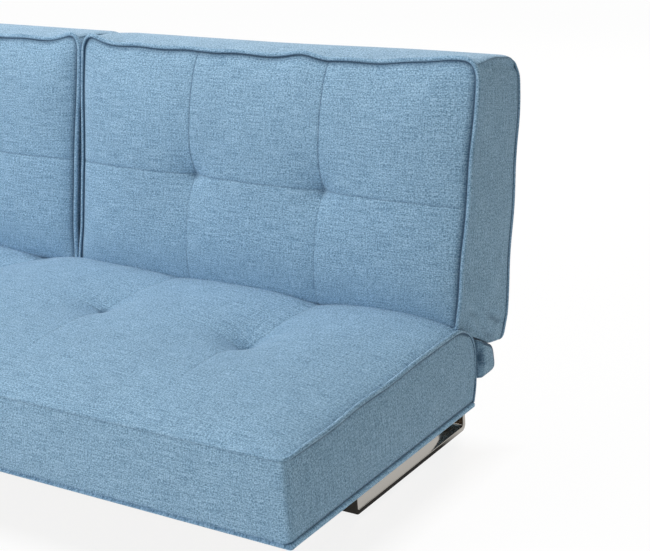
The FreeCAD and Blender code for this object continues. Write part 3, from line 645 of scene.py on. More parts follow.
def seat_form(flat, seams, row, sizes):
    """Places of the seat cushion before it is filled. The box's top is tilted by the
    slope, its rear top edge and upright corners are rounded, and its four sides swell as
    1 minus a power of the share of the way from the middle of the panel to its edge. The
    ends of the top and the side edges run in slow sine waves."""
    nip, side_swell, rear_swell = 0.002, 0.005, 0.004
    tuck_depth, front_lean, flank_in = 0.0010, 0.0015, 0.001
    end_strip, face_strip, foot_strip = 0.12, 0.02, 0.06
    top_wave, top_waves, top_phase, flank_wave, flank_waves = 0.0012, 29.0, 0.7, 0.0006, 41.0
    heel_back, heel_strip, heel_height, foot_drop, corner_drop = 0.015, 0.1, 0.055, 0.002, 0.007
    front_corner, rear_corner = 0.010, 0.006
    x, y, z = flat.T
    low, high = SEAT_LOW, SEAT_HIGH
    top = low[2] + sizes.front_height
    level = (z - low[2]) / (top - low[2])
    x, y = drawn_seams(x, y, level, seams, row, sizes)
    z = z + level * sizes.seat_slope * (y - low[1])
    y_end, z_end = high[1], top + sizes.seat_slope * (high[1] - low[1])
    end = smooth_step(np.abs(x), high[0] - end_strip, high[0])
    z = z + level * end * top_wave * np.sin(y * top_waves + top_phase)
    y, z = round_edge(y, y_end, 1, z, z_end, 1, sizes.seat_rear_radius)
    upright = 1 - np.abs(2 * level - 1) ** 2
    tuck = tuck_depth * fall(level, 0, foot_strip)
    ends = 1 - np.abs(x / high[0]) ** 12
    front = smooth_step(-y, -low[1] - face_strip, -low[1])
    y = y + front * (front_lean * (1 - level) + tuck - side_swell * upright * ends)
    heel = smooth_step(y, y_end - heel_strip, y_end)
    y = y - heel_back * heel * fall(z, low[2], low[2] + heel_height)
    corner = front * smooth_step(high[0] - np.abs(x), 0.0, face_strip)
    z = z - (foot_drop + corner_drop * corner) * (1 - level) ** 3
    rear = smooth_step(y, y_end - face_strip, y_end)
    y = y - rear * (nip + tuck - rear_swell * upright * ends)
    middle = (low[1] + high[1]) / 2
    along = 1 - np.abs((y - middle) / (high[1] - middle)) ** 6
    flank = smooth_step(np.abs(x), high[0] - face_strip, high[0])
    wave = flank_wave * level * np.sin(y * flank_waves)
    x = x - np.sign(x) * flank * (flank_in + tuck - side_swell * upright * along - wave)
    for way, side_end in ((1, high[0] - nip), (-1, low[0] + nip)):
        x, y = round_edge(x, side_end, way, y, low[1] + nip, -1, front_corner)
        x, y = round_edge(x, side_end, way, y, y_end - nip, 1, rear_corner)
    return np.stack([x, y, z], axis=1)


def pillow(distance, reach):
    """Height share of a stuffed panel at a distance from its sewn edge: (1 - (1 - d/reach)^2)^0.7."""
    t = np.clip(distance / reach, 0, 1)
    return np.maximum(1 - (1 - t) ** 2, 0) ** 0.7


def pinch(p, q, depth, reach):
    """Depth drawn in round a tuft at the origin: half of it exp(-r/reach) and half exp(-(0.55
    r/reach)^2), with a crease of a seventh of the depth that runs out both ways along p."""
    r = np.hypot(p, q)
    crease = 0.14 * np.exp(-np.abs(p) / (1.2 * reach)) * np.exp(-np.abs(q) / (0.25 * reach))
    return depth * (0.5 * np.exp(-r / reach) + 0.5 * np.exp(-(0.55 * r / reach) ** 2) + crease)


def seat_relief(x, y, seams, row, sizes):
    """Height of the seat's top over its edges: one broad crown, held up to the backs, less the
    hollows that run back from the tufts, the shallow hollows of the seams and the tufts
    themselves. A hollow is its depth times exp(-(d / width)^1.3) at a distance d from its seam."""
    crown_reach, tuft_reach, edge_reach, seam_hollow, valley = 0.15, 0.032, 0.05, 0.0017, 0.017
    hollow_width, valley_width, under_backs, rear_strip = 0.030, 0.035, 0.150, 0.012
    valley_shares, tuft_shares = (1.0, 1.0, 0.35, 0.85), (1.0, 1.0, 0.74, 1.12)
    end, ahead = inside(x), y - y.min()
    inset = np.minimum(np.minimum(end, ahead) / edge_reach, 1)
    fade = fall(y, under_backs, SEAT_HIGH[1] - rear_strip)
    lift = sizes.seat_crown * pillow(end, crown_reach) * pillow(ahead, crown_reach) * fade
    behind = smooth_step(y, row - 0.01, row + 0.07)
    for seam, share, drawn in zip(seams, valley_shares, tuft_shares):
        hollow = seam_hollow + behind * valley * share
        away = np.exp(-(np.abs(x - seam) / (hollow_width + valley_width * behind)) ** 1.3)
        lift = lift - hollow * away * inset * fade
        lift = lift - pinch(x - seam, y - row, sizes.seat_tuft_depth * drawn, tuft_reach)
    return lift


class SOFA_OT_seat_cushion(bpy.types.Operator):
    """Make the seat cushion with its pillows, tufts, seams and piping"""

    bl_idname = "sofa.seat_cushion"
    bl_label = "Seat cushion"

    def execute(self, context):
        sizes = context.scene.sofa_sizes
        shell, seams, row = seat_grid(sizes)
        x, y, z = shell.flat.T
        top = np.isclose(z, z.max())
        base = seat_form(shell.flat, seams, row, sizes)
        piece = add_mesh("seat_cushion", base, shell.quads, shell.uv)
        base[:, 2] += seat_relief(x, y, seams, row, sizes) * top
        move_to(piece, base)
        settle(piece, top, np.minimum(inside(x), y - y.min()), seam_ways(x, y, seams, row)[2],
               sizes.settle_frames, smooth_step(y, 0.13, 0.16))
        self.sew(piece, shell.flat, top, seams, row, sizes)
        subdivide(piece)
        dress(piece, "seat", "cover_fabric")
        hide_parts("seat_cover", "seat_foam")
        self.pipe(piece, shell, sizes)
        return {"FINISHED"}

    def sew(self, piece, flat, top, seams, row, sizes):
        """Press the stitched lines in along the normals, and paint shade for the cloth's darker tone:
        in the stitched lines, partly their own dark line, and the creases that run from the tufts,
        along the edges, at the foot, in the tuft pits and in a line under the front piping. Every
        line is a bell, or a smooth step, of the distance from it."""
        groove, line_width, column_share, cross_share, cross_reach = 0.0035, 0.0025, 0.7, 0.4, 0.10
        faded, tuft_crease_width, tuft_crease_length = 0.75, 0.004, 0.035
        rim_width, under_piping_drop, foot_width = 0.0068, 0.003, 0.004
        pit_width, shade_width, front_rim = 0.011, 0.034, 0.92
        x, y, z = flat.T
        column, cross, radius = seam_ways(x, y, seams, row)
        fade = 1 - faded * smooth_step(cross, 0.12, 0.30)
        near = np.exp(-column / cross_reach)
        depth = np.maximum(sizes.seam_depth * column_share * bell(column, groove) * fade,
                           sizes.seam_depth * cross_share * bell(cross, groove) * near)
        move_to(piece, places_of(piece.data) - normals_of(piece) * (depth * top)[:, None])
        # Painted shade in the creases that run from the tufts along the cross seam.
        tuft_crease_shade = np.exp(-(cross / tuft_crease_width) ** 2 - (column / tuft_crease_length) ** 2)
        crossing = 0.15 * bell(cross, line_width) + 0.45 * tuft_crease_shade
        line = np.maximum(0.40 * fade * bell(column, line_width), crossing) * top
        # Painted shade along the edges, at the foot, in the tuft pits and in a line just under the front
        # piping.
        edges = np.sort(np.stack([inside(x), z.max() - z, y - y.min()]), axis=0)
        ahead = fall(y, y.min() + 0.012, y.min() + 0.03)
        rim = np.where(top, 0.50 * bell(edges[1], rim_width), fall(edges[1], 0.0045, 0.0090))
        rim = rim * (z > z.min() + 0.003) * (1 - front_rim * ahead)
        under_piping_shade = 0.5 * ahead * bell(z.max() - z - under_piping_drop, 0.0022)
        foot = bell(z - z.min(), foot_width) * (1 - 0.5 * ahead)
        pit = (0.75 * bell(radius, pit_width) + 0.16 * bell(radius, shade_width)) * top
        set_share(piece, "seam", np.clip(np.maximum.reduce([line, 0.9 * rim, foot, pit, under_piping_shade]), 0, 1))

    def pipe(self, piece, shell, sizes):
        """One covered cord: up the left side's rear edge, round the top and down the right
        side's rear edge. It thins towards the backs and runs flush along the front. Its half
        towards the panels is painted darker as shade, less along the front, and all of it
        where it runs under the backs."""
        plump, thinned, flushed, sunk = 0.84, 0.30, 0.22, 0.0012
        places, number = places_of(piece.data), shell.number
        runs = (number[0, -1, :], number[0, ::-1, -1][1:], number[1:, 0, -1], number[-1, 1:, -1],
                number[-1, -1, ::-1][1:])
        path = even_path(places[np.concatenate(runs)], False)
        middle = np.array([0, (SEAT_LOW[1] + SEAT_HIGH[1]) / 2, 0.25])
        guide = (path - middle) / np.array([SEAT_HIGH[0], 0.314, 0.08])
        lean = unit(guide)
        taper = smooth_step(path[:, 1], SEAT_HIGH[1] - 0.08, SEAT_HIGH[1] - 0.03)
        flat_front = fall(path[:, 1], SEAT_LOW[1] + 0.015, SEAT_LOW[1] + 0.05)
        radius = sizes.piping_radius * (plump - thinned * taper - flushed * flat_front)
        proud = sizes.piping_proud * 1.10 * (1 - 0.9 * taper - flat_front)
        path[:, 1] += flat_front * (radius - sunk)
        # Painted shade all round the cord where it runs under the backs.
        under_back_shade = smooth_step(path[:, 1], sizes.meeting_y - 0.004, sizes.meeting_y + 0.012)
        cord = tube("seat_piping", path + proud[:, None] * lean, guide, radius, False, 1 - 0.7 * flat_front,
                    0.4 * under_back_shade)
        dress(cord, "seat", "cover_fabric")


class SOFA_OT_seat_hem(bpy.types.Operator):
    """Make the padded band round the bottom of the seat"""

    bl_idname = "sofa.seat_hem"
    bl_label = "Seat hem"

    def execute(self, context):
        low, high = HEM_LOW, HEM_HIGH
        inset, top, bottom, soft = 0.038, high[2] - 0.0028, low[2] + 0.0025, 0.0030
        rear_inset, corner, least_corner, front_drop, front_strip = 0.016, 0.006, 0.0005, 0.62, 0.02
        turn = np.linspace(0, math.pi / 2, 5)
        lower = [(soft - soft * math.sin(a), bottom + soft - soft * math.cos(a)) for a in turn]
        upper = [(soft - soft * math.cos(a), top - soft + soft * math.sin(a)) for a in turn]
        profile = [(inset, bottom), (inset / 2, bottom), *lower, (0.0, (bottom + top) / 2),
                   *upper, (inset / 2, top), (inset, top)]
        rings = []
        for depth, level in profile:
            ring = rounded_ring(
                (low[0] + depth, low[1] + depth), (high[0] - depth, high[1] - rear_inset - depth),
                max(corner - depth, least_corner), 7, 60)
            ahead = fall(ring[:, 1], low[1] + 0.002, low[1] + front_strip)
            rise = (level - bottom) * (1 - front_drop * ahead)
            rings.append(np.column_stack([ring, bottom + rise]))
        piece = loft("seat_hem", np.array(rings), True)
        # Painted shade: the front of the hem, under the seat's front, is darker.
        front = fall(places_of(piece.data)[:, 1], low[1] + 0.004, low[1] + front_strip)
        set_share(piece, "seam", 0.55 * front)
        dress(piece, "seat", "hem_fabric")
        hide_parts("seat_hem_boards")
        return {"FINISHED"}


# ---- Backs ------------------------------------------------------------------------------------
def stand(places, sizes):
    """Lean an upright back's (x, through, up) places back and set them on the meeting line."""
    x, through, up = places.T
    c, s = math.cos(sizes.lean), math.sin(sizes.lean)
    y, z = sizes.meeting_y + through * c + up * s, sizes.meeting_z - through * s + up * c
    return np.stack([x, y, z], axis=1)


def back_grid(side, sizes):
    """Grid of one back, upright: its places, the x of its column seams and its inner and outer ends."""
    inner, outer = sizes.backs_apart / 2, SEAT_HIGH[0]
    low, high = sorted((side * inner, side * outer))
    middle = (low + high) / 2
    seams = middle + sizes.back_column * np.array([-0.5, 0.5])
    xs = graded([low, *seams, high], sizes.step)
    ts = graded([0.0, sizes.back_thickness], sizes.step * UPRIGHT_STEP, CLOSE_ROWS)
    ups = graded([-sizes.back_bottom, sizes.back_tuft_row, sizes.back_top], sizes.step)
    return Shell(xs, ts, ups), seams, (low, high)


def gathered_top(share, from_inner, from_outer):
    """How far the front panel's top edge is drawn down at a share of the way to the outer end: a flat
    arch that falls to nothing at both corners, less two bells and a slow sine wave for the gathers."""
    drawn, inner_reach, outer_reach = 0.0175, 0.055, 0.15
    rise, rise_share, rise_width = 0.0075, 0.21, 0.075
    corner_rise, corner_way, corner_width = 0.003, 0.06, 0.035
    wave, waves, phase = 0.0012, 23.0, 1.0
    draw = drawn * (1 - bell(from_inner, inner_reach)) * (1 - bell(from_outer, outer_reach))
    draw = draw - rise * bell(share - rise_share, rise_width)
    draw = draw + wave * np.sin(share * waves + phase)
    return draw - corner_rise * bell(from_outer - corner_way, corner_width)


def back_form(flat, side, ends, sizes):
    """Places of an upright back before it is filled. The top of the front panel is
    gathered between its corners and the rear of the top crests over it. The front panel
    widens towards the top. The underside slopes from toe to heel. The sides and the rear
    swell as 1 minus a power of the share of the way from the middle of the panel to its
    edge. Corners seen from the front are rounder at the front than at the rear."""
    end_share, upper_start, crest_strip, crest_height, crest_more = 0.9, 0.22, 0.06, 0.003, 0.005
    foot_in, spread, rear_spread, wave, waves, phase = -0.005, 0.030, 0.0060, 0.0012, 34.0, 0.4
    part, part_more, knee, heel_swell, top_ease = 0.0068, 0.0046, 0.085, 0.004, 0.004
    side_swell, inner_share, rear_swell, face_strip, nip, front_in = 0.0045, 0.4, 0.006, 0.02, 0.001, 0.002
    corner_least, corner_front, corner_rear, foot_corner = 0.020, 0.012, 0.010, 0.006
    outer_inset, inner_inset, top_round, heel_round = 0.009, 0.006, 0.032, 0.007
    x, t, s = flat.T
    low, high = ends
    thick, top, bottom = sizes.back_thickness, sizes.back_top, -sizes.back_bottom
    middle, half = (low + high) / 2, (high - low) / 2
    across = (x - middle) / half
    outward_share = side * across
    outer = smooth_step(outward_share, end_share, 1)
    inner = smooth_step(-outward_share, end_share, 1)
    frontness = fall(t, 0.0, thick * 0.62)
    draw = gathered_top(outward_share, (1 + outward_share) * half, (1 - outward_share) * half)
    lift = -draw * frontness * smooth_step(s, upper_start, top)
    crest = smooth_step(s, top - crest_strip, top) * smooth_step(t, 0.0, thick * 0.5)
    lift = lift + crest * (crest_height + crest_more * smooth_step(outward_share, -0.2, 0.7))
    widen = (foot_in + spread * np.clip(s, 0, top)) * fall(t, 0, thick * 0.8)
    widen = widen + rear_spread * smooth_step(t, thick * 0.2, thick) * smooth_step(
        s, -0.05, 0.02) * smooth_step(s, 0.54, 0.37)
    widen = widen + wave * np.sin(s * waves + phase)
    parted = part + part_more * smooth_step(s, 0.40, 0.24) * smooth_step(s, -0.02, 0.10)
    x = x + side * outer * widen + side * inner * parted
    toe, heel = sizes.back_toe, sizes.back_heel
    under = np.where(t < heel, toe + (bottom - toe) * t / heel, bottom)
    share = np.clip((knee - s) / (knee - bottom), 0, 1)
    s = np.where(s < knee, knee - share * (knee - under), s)
    level = np.clip((s - bottom) / (top - bottom), 0, 1)
    swell = 1 - np.abs(2 * level - 1) ** 4
    through = 1 - np.abs(2 * t / thick - 1) ** 2
    x = x + np.sign(across) * side_swell * (outer + inner * inner_share) * swell * through
    s = s + lift
    rear = smooth_step(t, thick - face_strip, thick)
    foot = heel_swell * smooth_step(-s, -0.05, 0.04)
    t = t + rear * (-nip + rear_swell * swell * (1 - np.abs(across) ** 6) + foot)
    t = t + fall(t, 0, face_strip) * front_in
    corner = corner_least + corner_front * fall(t, 0.0, 0.07) + corner_rear * smooth_step(t, 0.08, thick)
    for way, end in ((1, high), (-1, low)):
        edge = end + side * (outer_inset if way == side else inner_inset)
        x, s = round_edge(x, edge, way, s, top, 1, corner)
        x, s = round_edge(x, end, way, s, bottom, -1, foot_corner)
    t, s = round_edge(t, thick - nip, 1, s, top + top_ease, 1, top_round)
    t, s = round_edge(t, thick - nip, 1, s, bottom, -1, heel_round)
    return np.stack([x, t, s], axis=1)


def back_relief(x, s, seams, row, sizes):
    """How far the front panel of a back stands out of its edges: one broad crown, less the shallow
    hollows of the seams and the tufts. A seam's hollow is a bell of the distance from it."""
    crown_reach, tuft_reach, edge_reach = 0.13, 0.025, 0.06
    cross_hollow, cross_reach = 0.0016, 0.025
    column_hollow, column_low, column_width = 0.0012, 0.0014, 0.022
    end, upright = inside(x), inside(s)
    inset = np.minimum(np.minimum(end, upright) / edge_reach, 1)
    out = sizes.back_crown * pillow(end, crown_reach) * pillow(upright, crown_reach)
    out = out - cross_hollow * np.exp(-np.abs(s - row) / cross_reach) * inset
    for seam in seams:
        hollow = column_hollow + column_low * smooth_step(row - s, 0, 0.1)
        out = out - hollow * bell(x - seam, column_width) * inset
        out = out - pinch(x - seam, s - row, sizes.back_tuft_depth, tuft_reach)
    return out


def side_folds(x, t, s, side):
    """Gathers low on the outer side of a back, mm deep: a slanted sine up the side times a
    slow sine through it, under a bell about the lower edge, so that they die out upwards."""
    height, slant, wave, slow_wave, level, reach = 0.0034, 0.30, 0.038, 0.19, -0.010, 0.034
    outer = x * side
    face = smooth_step(outer, outer.max() - 0.004, outer.max())
    fold = np.sin((s + slant * t) * 2 * math.pi / wave + 0.8) * np.sin(t * 2 * math.pi / slow_wave + 0.4)
    return height * fold * face * bell(s - level, reach) * smooth_step(t, 0.02, 0.06)


class SOFA_OT_back_cushions(bpy.types.Operator):
    """Make the two backs with their pillows, tufts, seams and piping"""

    bl_idname = "sofa.back_cushions"
    bl_label = "Back cushions"

    def execute(self, context):
        sizes = context.scene.sofa_sizes
        for name, side in SIDES.items():
            self.build(name, side, sizes)
        return {"FINISHED"}

    def build(self, name, side, sizes):
        """One back, filled, sewn and piped."""
        shell, seams, ends = back_grid(side, sizes)
        x, t, s = shell.flat.T
        row = sizes.back_tuft_row
        front = np.isclose(t, 0)
        form = back_form(shell.flat, side, ends, sizes)
        folds = side_folds(x, t, s, side)
        form[:, 0] += side * folds
        form[:, 1] -= back_relief(x, s, seams, row, sizes) * front
        piece = add_mesh("back_%s_cushion" % name, stand(form, sizes), shell.quads, shell.uv)
        settle(piece, front, np.minimum(inside(x), inside(s)), seam_ways(x, s, seams, row)[2],
               sizes.settle_frames)
        self.sew(piece, shell.flat, front, seams, row, sizes, folds)
        subdivide(piece)
        dress(piece, "back_" + name, "cover_fabric")
        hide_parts("back_%s_cover" % name, "back_%s_foam" % name)
        self.pipe(piece, name, shell, sizes)

    def sew(self, piece, flat, front, seams, row, sizes, folds):
        """Press the stitched lines in along the normals, and paint shade for the cloth's darker
        tone: in the stitched lines, partly their own dark line, along the front, rear and top
        edges, in the tuft pits and in the valleys of the side folds. Every line is a bell, or a
        smooth step, of the distance from it."""
        groove, line_width, top_line, pit_width = 0.0035, 0.0020, 0.0030, 0.011
        column_tone, upper_more, cross_tone, fold_shade = 0.50, 0.30, 0.60, -260.0
        rim_start, rim_end, rear_start, rear_end = 0.0045, 0.0095, 0.0030, 0.0080
        x, t, s = flat.T
        column, cross, radius = seam_ways(x, s, seams, row)
        depth = sizes.seam_depth * bell(np.minimum(column, cross), groove)
        move_to(piece, places_of(piece.data) - normals_of(piece) * (depth * front)[:, None])
        down = (column_tone + upper_more * (s > row)) * bell(column, line_width)
        line = np.maximum(down, cross_tone * bell(cross, line_width)) * front
        # Painted shade along the edges, in the tuft pits and in the valleys of the side folds.
        side, upright = inside(x), inside(s)
        rim = fall(np.maximum(np.minimum(side, upright), t), rim_start, rim_end)
        rear_rim = fall(np.maximum(side, t.max() - t), rear_start, rear_end)
        top_rim = 0.7 * bell(np.maximum(side, s.max() - s), top_line)
        pit = 0.7 * bell(radius, pit_width) * front
        marks = [line, 0.9 * rim, 0.8 * rear_rim, top_rim, pit, fold_shade * folds]
        set_share(piece, "seam", np.clip(np.maximum.reduce(marks), 0, 1))

    def pipe(self, piece, name, shell, sizes):
        """Covered cords round the front panel and a thinner one round the rear panel, each painted darker
        as shade on its half towards the panels.
        """
        places, number = places_of(piece.data), shell.number
        middle = places.mean(axis=0)
        for label, layer, share in (("front", 0, 1.0), ("rear", -1, 0.55)):
            loop = np.concatenate([number[:, layer, -1], number[-1, layer, ::-1][1:],
                                   number[::-1, layer, 0][1:], number[0, layer, :][1:-1]])
            path = even_path(places[loop], True)
            guide = path - middle
            middles = path + sizes.piping_proud * share ** 2 * unit(guide)
            radius = sizes.piping_radius * share
            # Painted shade on the half of each cord towards the panels.
            cord = tube("back_%s_piping_%s" % (name, label), middles, guide, radius, True, 1.0)
            dress(cord, "back_" + name, "cover_fabric")


# ---- Hinge pockets, legs and hardware ---------------------------------------------------------
def pocket_outline(turn):
    """Way from the pocket's middle to its edge in each direction: a rounded four-sided shape. The ways to
    its sloping top, rear, foot and hidden side are joined as the eighth-power mean of their inverses."""
    sides = ((math.radians(62), 0.0312), (math.radians(8), 0.0475), (math.radians(-90), 0.0400),
             (math.radians(180), 0.0460))
    inverse = sum((np.maximum(np.cos(turn - facing), 0) / way) ** 8 for facing, way in sides)
    return inverse ** (-1 / 8)


def lay_cloth(piece, flat):
    """Lay the cloth on a piece by one flat place for each of its vertices."""
    corners = np.zeros(len(piece.data.loops), np.int32)
    piece.data.loops.foreach_get("vertex_index", corners)
    piece.data.uv_layers["cloth"].data.foreach_set("uv", flat[corners].astype(np.float32).ravel())


class SOFA_OT_hinge_pockets(bpy.types.Operator):
    """Make the gathered cloth pockets over the hinges at the two ends"""

    bl_idname = "sofa.hinge_pockets"
    bl_label = "Hinge pockets"

    def execute(self, context):
        for name, side in SIDES.items():
            low, high = (np.array(corner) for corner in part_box("hinge_pad_" + name))
            rings, flat, tone = self.form(side, low, high)
            piece = loft("hinge_pocket_" + name, rings, False)
            lay_cloth(piece, flat)
            # The 'seam' attribute carries the pocket's painted shade.
            set_share(piece, "seam", tone)
            subdivide(piece)
            dress(piece, "seat", "hinge_pad_fabric")
            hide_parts("hinge_pad_" + name)
        return {"FINISHED"}

    def form(self, side, low, high):
        """Rings of a pocket from its root on the seat to the middle of its end face, the
        flat places of its cloth and its painted shade: the rear layer of its rim, a dark line
        round its face, the dip behind the seat and the crease are darker. The round root widens
        by a smooth step into the flap's outline, which closes as the cosine of the share of the
        way to the middle. Behind the seat's rear edge it dips inwards."""
        root, flap_start, flap_end, root_reach = 0.05, 0.30, 0.42, 0.0310
        forward, root_up, flap_up = 0.0150, 0.009, 0.011
        crease_y, crease_z, crease_width, crease_length, crease_depth = 0.018, 0.022, 0.0052, 0.017, 0.0080
        sunk, stand_out, bulge, dip_depth, dip_start, dip_strip = 0.0235, 0.030, 0.0075, 0.020, 0.009, 0.018
        pivot_y, pivot_z = (2 * high[1] - high[2] + low[2]) / 2, (low[2] + high[2]) / 2
        outer = max(side * low[0], side * high[0])
        share = np.linspace(0, 1, 60)[:, None]
        turn = np.linspace(0, 2 * math.pi, 121)[None, :-1]
        flap = smooth_step(share, flap_start, flap_end)
        closing = np.maximum(np.cos(math.pi / 2 * ((share - flap_end) / (1 - flap_end)).clip(0, 1)), 0.02)
        closing = closing * np.sqrt(np.clip(share / root, 0.01, 1))
        reach = (root_reach * (1 - flap) + pocket_outline(turn) * flap) * closing
        y = pivot_y - forward * flap + reach * np.cos(turn)
        z = pivot_z + root_up + flap_up * flap + reach * np.sin(turn)
        crease = np.exp(-((y - pivot_y + crease_y) / crease_width) ** 2
                        - ((z - pivot_z - crease_z) / crease_length) ** 2)
        domed = np.sqrt(np.clip(1 - closing ** 2, 0, 1)) * smooth_step(share, flap_end, 0.60)
        x = outer - sunk + stand_out * np.minimum(share / flap_end, 1) + bulge * domed
        x = x - crease_depth * crease * smooth_step(share, 0.45, 0.65)
        dip = dip_depth * smooth_step(SEAT_HIGH[1] + dip_start - y, 0, dip_strip)
        dip = dip * smooth_step(share, 0.2, 0.4)
        # Painted shade on the rear layer of the rim, along a line round the face, in the dip behind the
        # seat and in the crease.
        rear = smooth_step(np.cos(turn - 0.5), 0.35, 0.75)
        rear_layer_shade = 0.95 * rear * smooth_step(closing, 0.80, 0.83)
        outline = 0.95 * bell(closing - 0.93 + 0.10 * rear, 0.030) * (share > flap_end)
        tone = np.maximum.reduce(np.broadcast_arrays(
            rear_layer_shade, outline, 0.9 * smooth_step(dip, 0.002, 0.012), np.sqrt(crease)))
        rings = np.stack([side * (x - dip), y, z], axis=-1)
        flat = np.column_stack([(y - dip).ravel(), z.ravel()])
        return rings, flat, np.broadcast_to(tone, y.shape).ravel()


class SOFA_OT_sled_legs(bpy.types.Operator):
    """Make the two chrome sled legs of bent flat bar"""

    bl_idname = "sofa.sled_legs"
    bl_label = "Sled legs"

    def execute(self, context):
        sizes = context.scene.sofa_sizes
        edge, thick, bend = sizes.leg_edge, sizes.leg_thickness, sizes.leg_bend
        for name in SIDES:
            low, high = (np.array(corner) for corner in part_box("leg_" + name))
            profile = rounded_ring((0.0, low[0]), (thick, high[0]), edge, 4, 3)
            rings = []
            for depth, across in profile:
                ring = rounded_ring((low[1] + depth, low[2] + depth), (high[1] - depth, high[2] - depth),
                                    bend - depth, 12, 10)
                rings.append(np.column_stack([np.full(len(ring), across), ring]))
            piece = loft("leg_bar_" + name, np.array(rings), True)
            dress(piece, "seat", "leg_chrome")
            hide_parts("leg_" + name)
        return {"FINISHED"}


class SOFA_OT_hardware(bpy.types.Operator):
    """Finish the frames, springs, hinges, bolts, glides and boards"""

    bl_idname = "sofa.hardware"
    bl_label = "Frame and hardware"

    def execute(self, context):
        for part in frame["record"]["subparts"]:
            node = frame["nodes"][part["node"]]
            node.data.materials.clear()
            node.data.materials.append(finish(part["material_slot"]))
        return {"FINISHED"}


# ---- Studio -----------------------------------------------------------------------------------
def shade_under_sofa(n, place):
    """Mask of the floor's painted shade: 1 under the middle of the sofa, falling to 0 over a soft border of
    8 cm.
    """
    sides, border = (0.86, 0.33), 0.08
    parts = n.add("ShaderNodeSeparateXYZ", {0: place}).outputs
    past = [n.remap(n.math("ABSOLUTE", part), side, side + border, 0.0, 1.0)
            for part, side in zip(parts, sides)]
    return n.math("SUBTRACT", 1.0, n.math("MAXIMUM", *past))


def seen_white(n, lit, under):
    """Mix of a lit shader and white light, the light only for camera, glossy and transmission rays.
    The camera sees 0.97 of it in the open and 0.85 under the sofa, painted shade that lets more of the
    floor's real shadow show; there the white is also dimmed for reflections, painted shade that metal
    reflects as dark bands."""
    open_share, under_share, reflection_shade = 0.97, 0.85, 0.94
    path = n.add("ShaderNodeLightPath").outputs
    mirrored = n.math("MAXIMUM", path["Is Glossy Ray"], path["Is Transmission Ray"])
    to_camera = n.math("MULTIPLY", path["Is Camera Ray"], n.remap(under, 0.0, 1.0, open_share, under_share))
    share = n.math("MAXIMUM", to_camera, n.math("MULTIPLY", mirrored, open_share))
    # Painted shade: under the sofa the white is dimmed for reflections, so metal shows dark bands.
    strength = n.math("SUBTRACT", 1.0, n.math("MULTIPLY", n.math("MULTIPLY", mirrored, under), reflection_shade))
    glow = n.add("ShaderNodeEmission", {"Color": (1, 1, 1, 1), "Strength": strength}).outputs[0]
    return n.add("ShaderNodeMixShader", {0: share, 1: lit, 2: glow}).outputs[0]


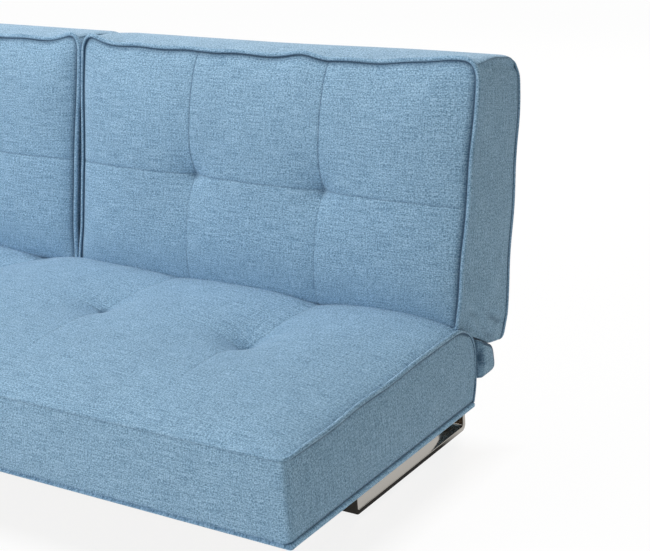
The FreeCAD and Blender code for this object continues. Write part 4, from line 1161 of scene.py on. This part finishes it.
class SOFA_OT_studio(bpy.types.Operator):
    """Make the pale floor, the soft lights and the camera"""

    bl_idname = "sofa.studio"
    bl_label = "Studio"

    def execute(self, context):
        scene = context.scene
        self.floor(scene)
        self.world(scene)
        self.lamps(scene)
        self.camera(scene)
        scene.view_settings.view_transform = "Standard"
        return {"FINISHED"}

    def floor(self, scene):
        """Flat square of floor, just under the sofa."""
        reach, points, below = 20, 21, 0.0005
        places = np.linspace(-reach, reach, points)
        x, y = np.meshgrid(places, places, indexing="ij")
        places = np.stack([x, y, np.full_like(x, -below)], axis=-1).reshape(-1, 3)
        quads = cells(np.arange(points ** 2).reshape(points, points))
        floor = add_mesh("studio_floor", places, quads.reshape(-1, 4))
        n = material_nodes("studio_floor")
        place = n.on_object()
        colour = scene.sofa_colours.floor
        speckle = n.remap(n.noise(place, 3.0), 0.3, 0.7, 0.0, 1.0)
        base = n.mix(speckle, rgba(colour), rgba(tuple(v * 0.99 for v in colour)))
        n.surface(Base_Color=base, Roughness=0.9, Specular_IOR_Level=0.1)
        out = n.tree.nodes["Material Output"]
        n.put(seen_white(n, n.shader.outputs[0], shade_under_sofa(n, place)), out.inputs["Surface"])
        floor.data.materials.clear()
        floor.data.materials.append(n.owner)

    def world(self, scene):
        """Even sky: white where it is seen, mirrored or looked through, and softer and
        tinted where it lights."""
        soft_strength, soft_colour, white = 0.385, (0.955, 1.0, 0.93, 1.0), (1.0, 1.0, 1.0, 1.0)
        scene.world = bpy.data.worlds.new("studio_world")
        n = Nodes(scene.world)
        path = n.add("ShaderNodeLightPath").outputs
        seen = n.math("MAXIMUM", path["Is Camera Ray"], path["Is Glossy Ray"])
        seen = n.math("MAXIMUM", seen, path["Is Transmission Ray"])
        back = n.tree.nodes["Background"].inputs
        n.put(n.mix(seen, soft_colour, white), back["Color"])
        n.put(n.remap(seen, 0.0, 1.0, soft_strength, 1.0), back["Strength"])

    def lamps(self, scene):
        """A large key lamp from the left and front, a weaker one above and a warm one
        behind for the backs' tops, which is hidden from reflections."""
        white, warm = (1.0, 1.0, 1.0), (1.0, 0.80, 0.66)
        for name, place, aim, size, power, tint in (
                ("key_lamp", (-2.4, -4.4, 2.1), (0.1, 0.0, 0.35), 2.6, 109.0, white),
                ("top_lamp", (-0.8, -0.35, 4.2), (0.2, 0.0, 0.3), 3.0, 100.0, white),
                ("rear_lamp", (-0.4, 3.6, 2.1), (0.0, 0.3, 0.8), 1.3, 105.0, warm)):
            data = bpy.data.lights.new(name, "AREA")
            data.shape, data.size, data.energy, data.color = "SQUARE", size, power, tint
            lamp = bpy.data.objects.new(name, data)
            scene.collection.objects.link(lamp)
            lamp.location = place
            lamp.visible_glossy = name != "rear_lamp"
            lamp.rotation_euler = (Vector(place) - Vector(aim)).to_track_quat("Z", "Y").to_euler()

    def camera(self, scene):
        """Camera to the right of the front, turned left and down, with a slight roll. Its axes are the way
        ahead from the yaw and pitch, the level way right, and their cross product, turned by the roll."""
        yaw, pitch, roll = math.radians(34.76), math.radians(19.53), math.radians(-4.0)
        place, lens, sensor = (2.31, -2.2525, 1.448), 89.63, 36.0
        level = math.cos(pitch)
        ahead = np.array([-math.sin(yaw) * level, math.cos(yaw) * level, -math.sin(pitch)])
        right = np.array([math.cos(yaw), math.sin(yaw), 0.0])
        up = np.cross(right, ahead)
        data = bpy.data.cameras.new("studio_camera")
        data.sensor_width, data.sensor_fit, data.lens = sensor, "HORIZONTAL", lens
        camera = bpy.data.objects.new("studio_camera", data)
        scene.collection.objects.link(camera)
        matrix = np.eye(4)
        matrix[:3, 0] = right * math.cos(roll) + up * math.sin(roll)
        matrix[:3, 1] = up * math.cos(roll) - right * math.sin(roll)
        matrix[:3, 2] = -ahead
        matrix[:3, 3] = place
        camera.matrix_world = Matrix(matrix.tolist())
        scene.camera = camera


# ---- Sidebar and registration -----------------------------------------------------------------
PIECE_OPERATORS = (SOFA_OT_seat_cushion, SOFA_OT_seat_hem, SOFA_OT_back_cushions, SOFA_OT_hinge_pockets,
                   SOFA_OT_sled_legs, SOFA_OT_hardware, SOFA_OT_studio)


class SOFA_PT_sidebar(bpy.types.Panel):
    """Sizes, colours and makers of the sofa bed"""

    bl_idname = "SOFA_PT_sidebar"
    bl_label = "Sofa Bed"
    bl_space_type = "VIEW_3D"
    bl_region_type = "UI"
    bl_category = "Sofa Bed"

    def draw(self, context):
        for operator in PIECE_OPERATORS:
            self.layout.operator(operator.bl_idname)
        for group in (context.scene.sofa_sizes, context.scene.sofa_colours):
            for key in group.__annotations__:
                self.layout.prop(group, key)


CLASSES = (SofaSizes, SofaColours, *PIECE_OPERATORS, SOFA_PT_sidebar)


def register():
    """Register the classes and hang the sizes and colours on the scene."""
    for item in CLASSES:
        bpy.utils.register_class(item)
    bpy.types.Scene.sofa_sizes = PointerProperty(type=SofaSizes)
    bpy.types.Scene.sofa_colours = PointerProperty(type=SofaColours)


def unregister():
    """Undo register."""
    del bpy.types.Scene.sofa_colours
    del bpy.types.Scene.sofa_sizes
    for item in reversed(CLASSES):
        bpy.utils.unregister_class(item)


def main():
    """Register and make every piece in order."""
    register()
    bpy.ops.sofa.seat_cushion()
    bpy.ops.sofa.seat_hem()
    bpy.ops.sofa.back_cushions()
    bpy.ops.sofa.hinge_pockets()
    bpy.ops.sofa.sled_legs()
    bpy.ops.sofa.hardware()
    bpy.ops.sofa.studio()


if __name__ == "__main__":
    main()
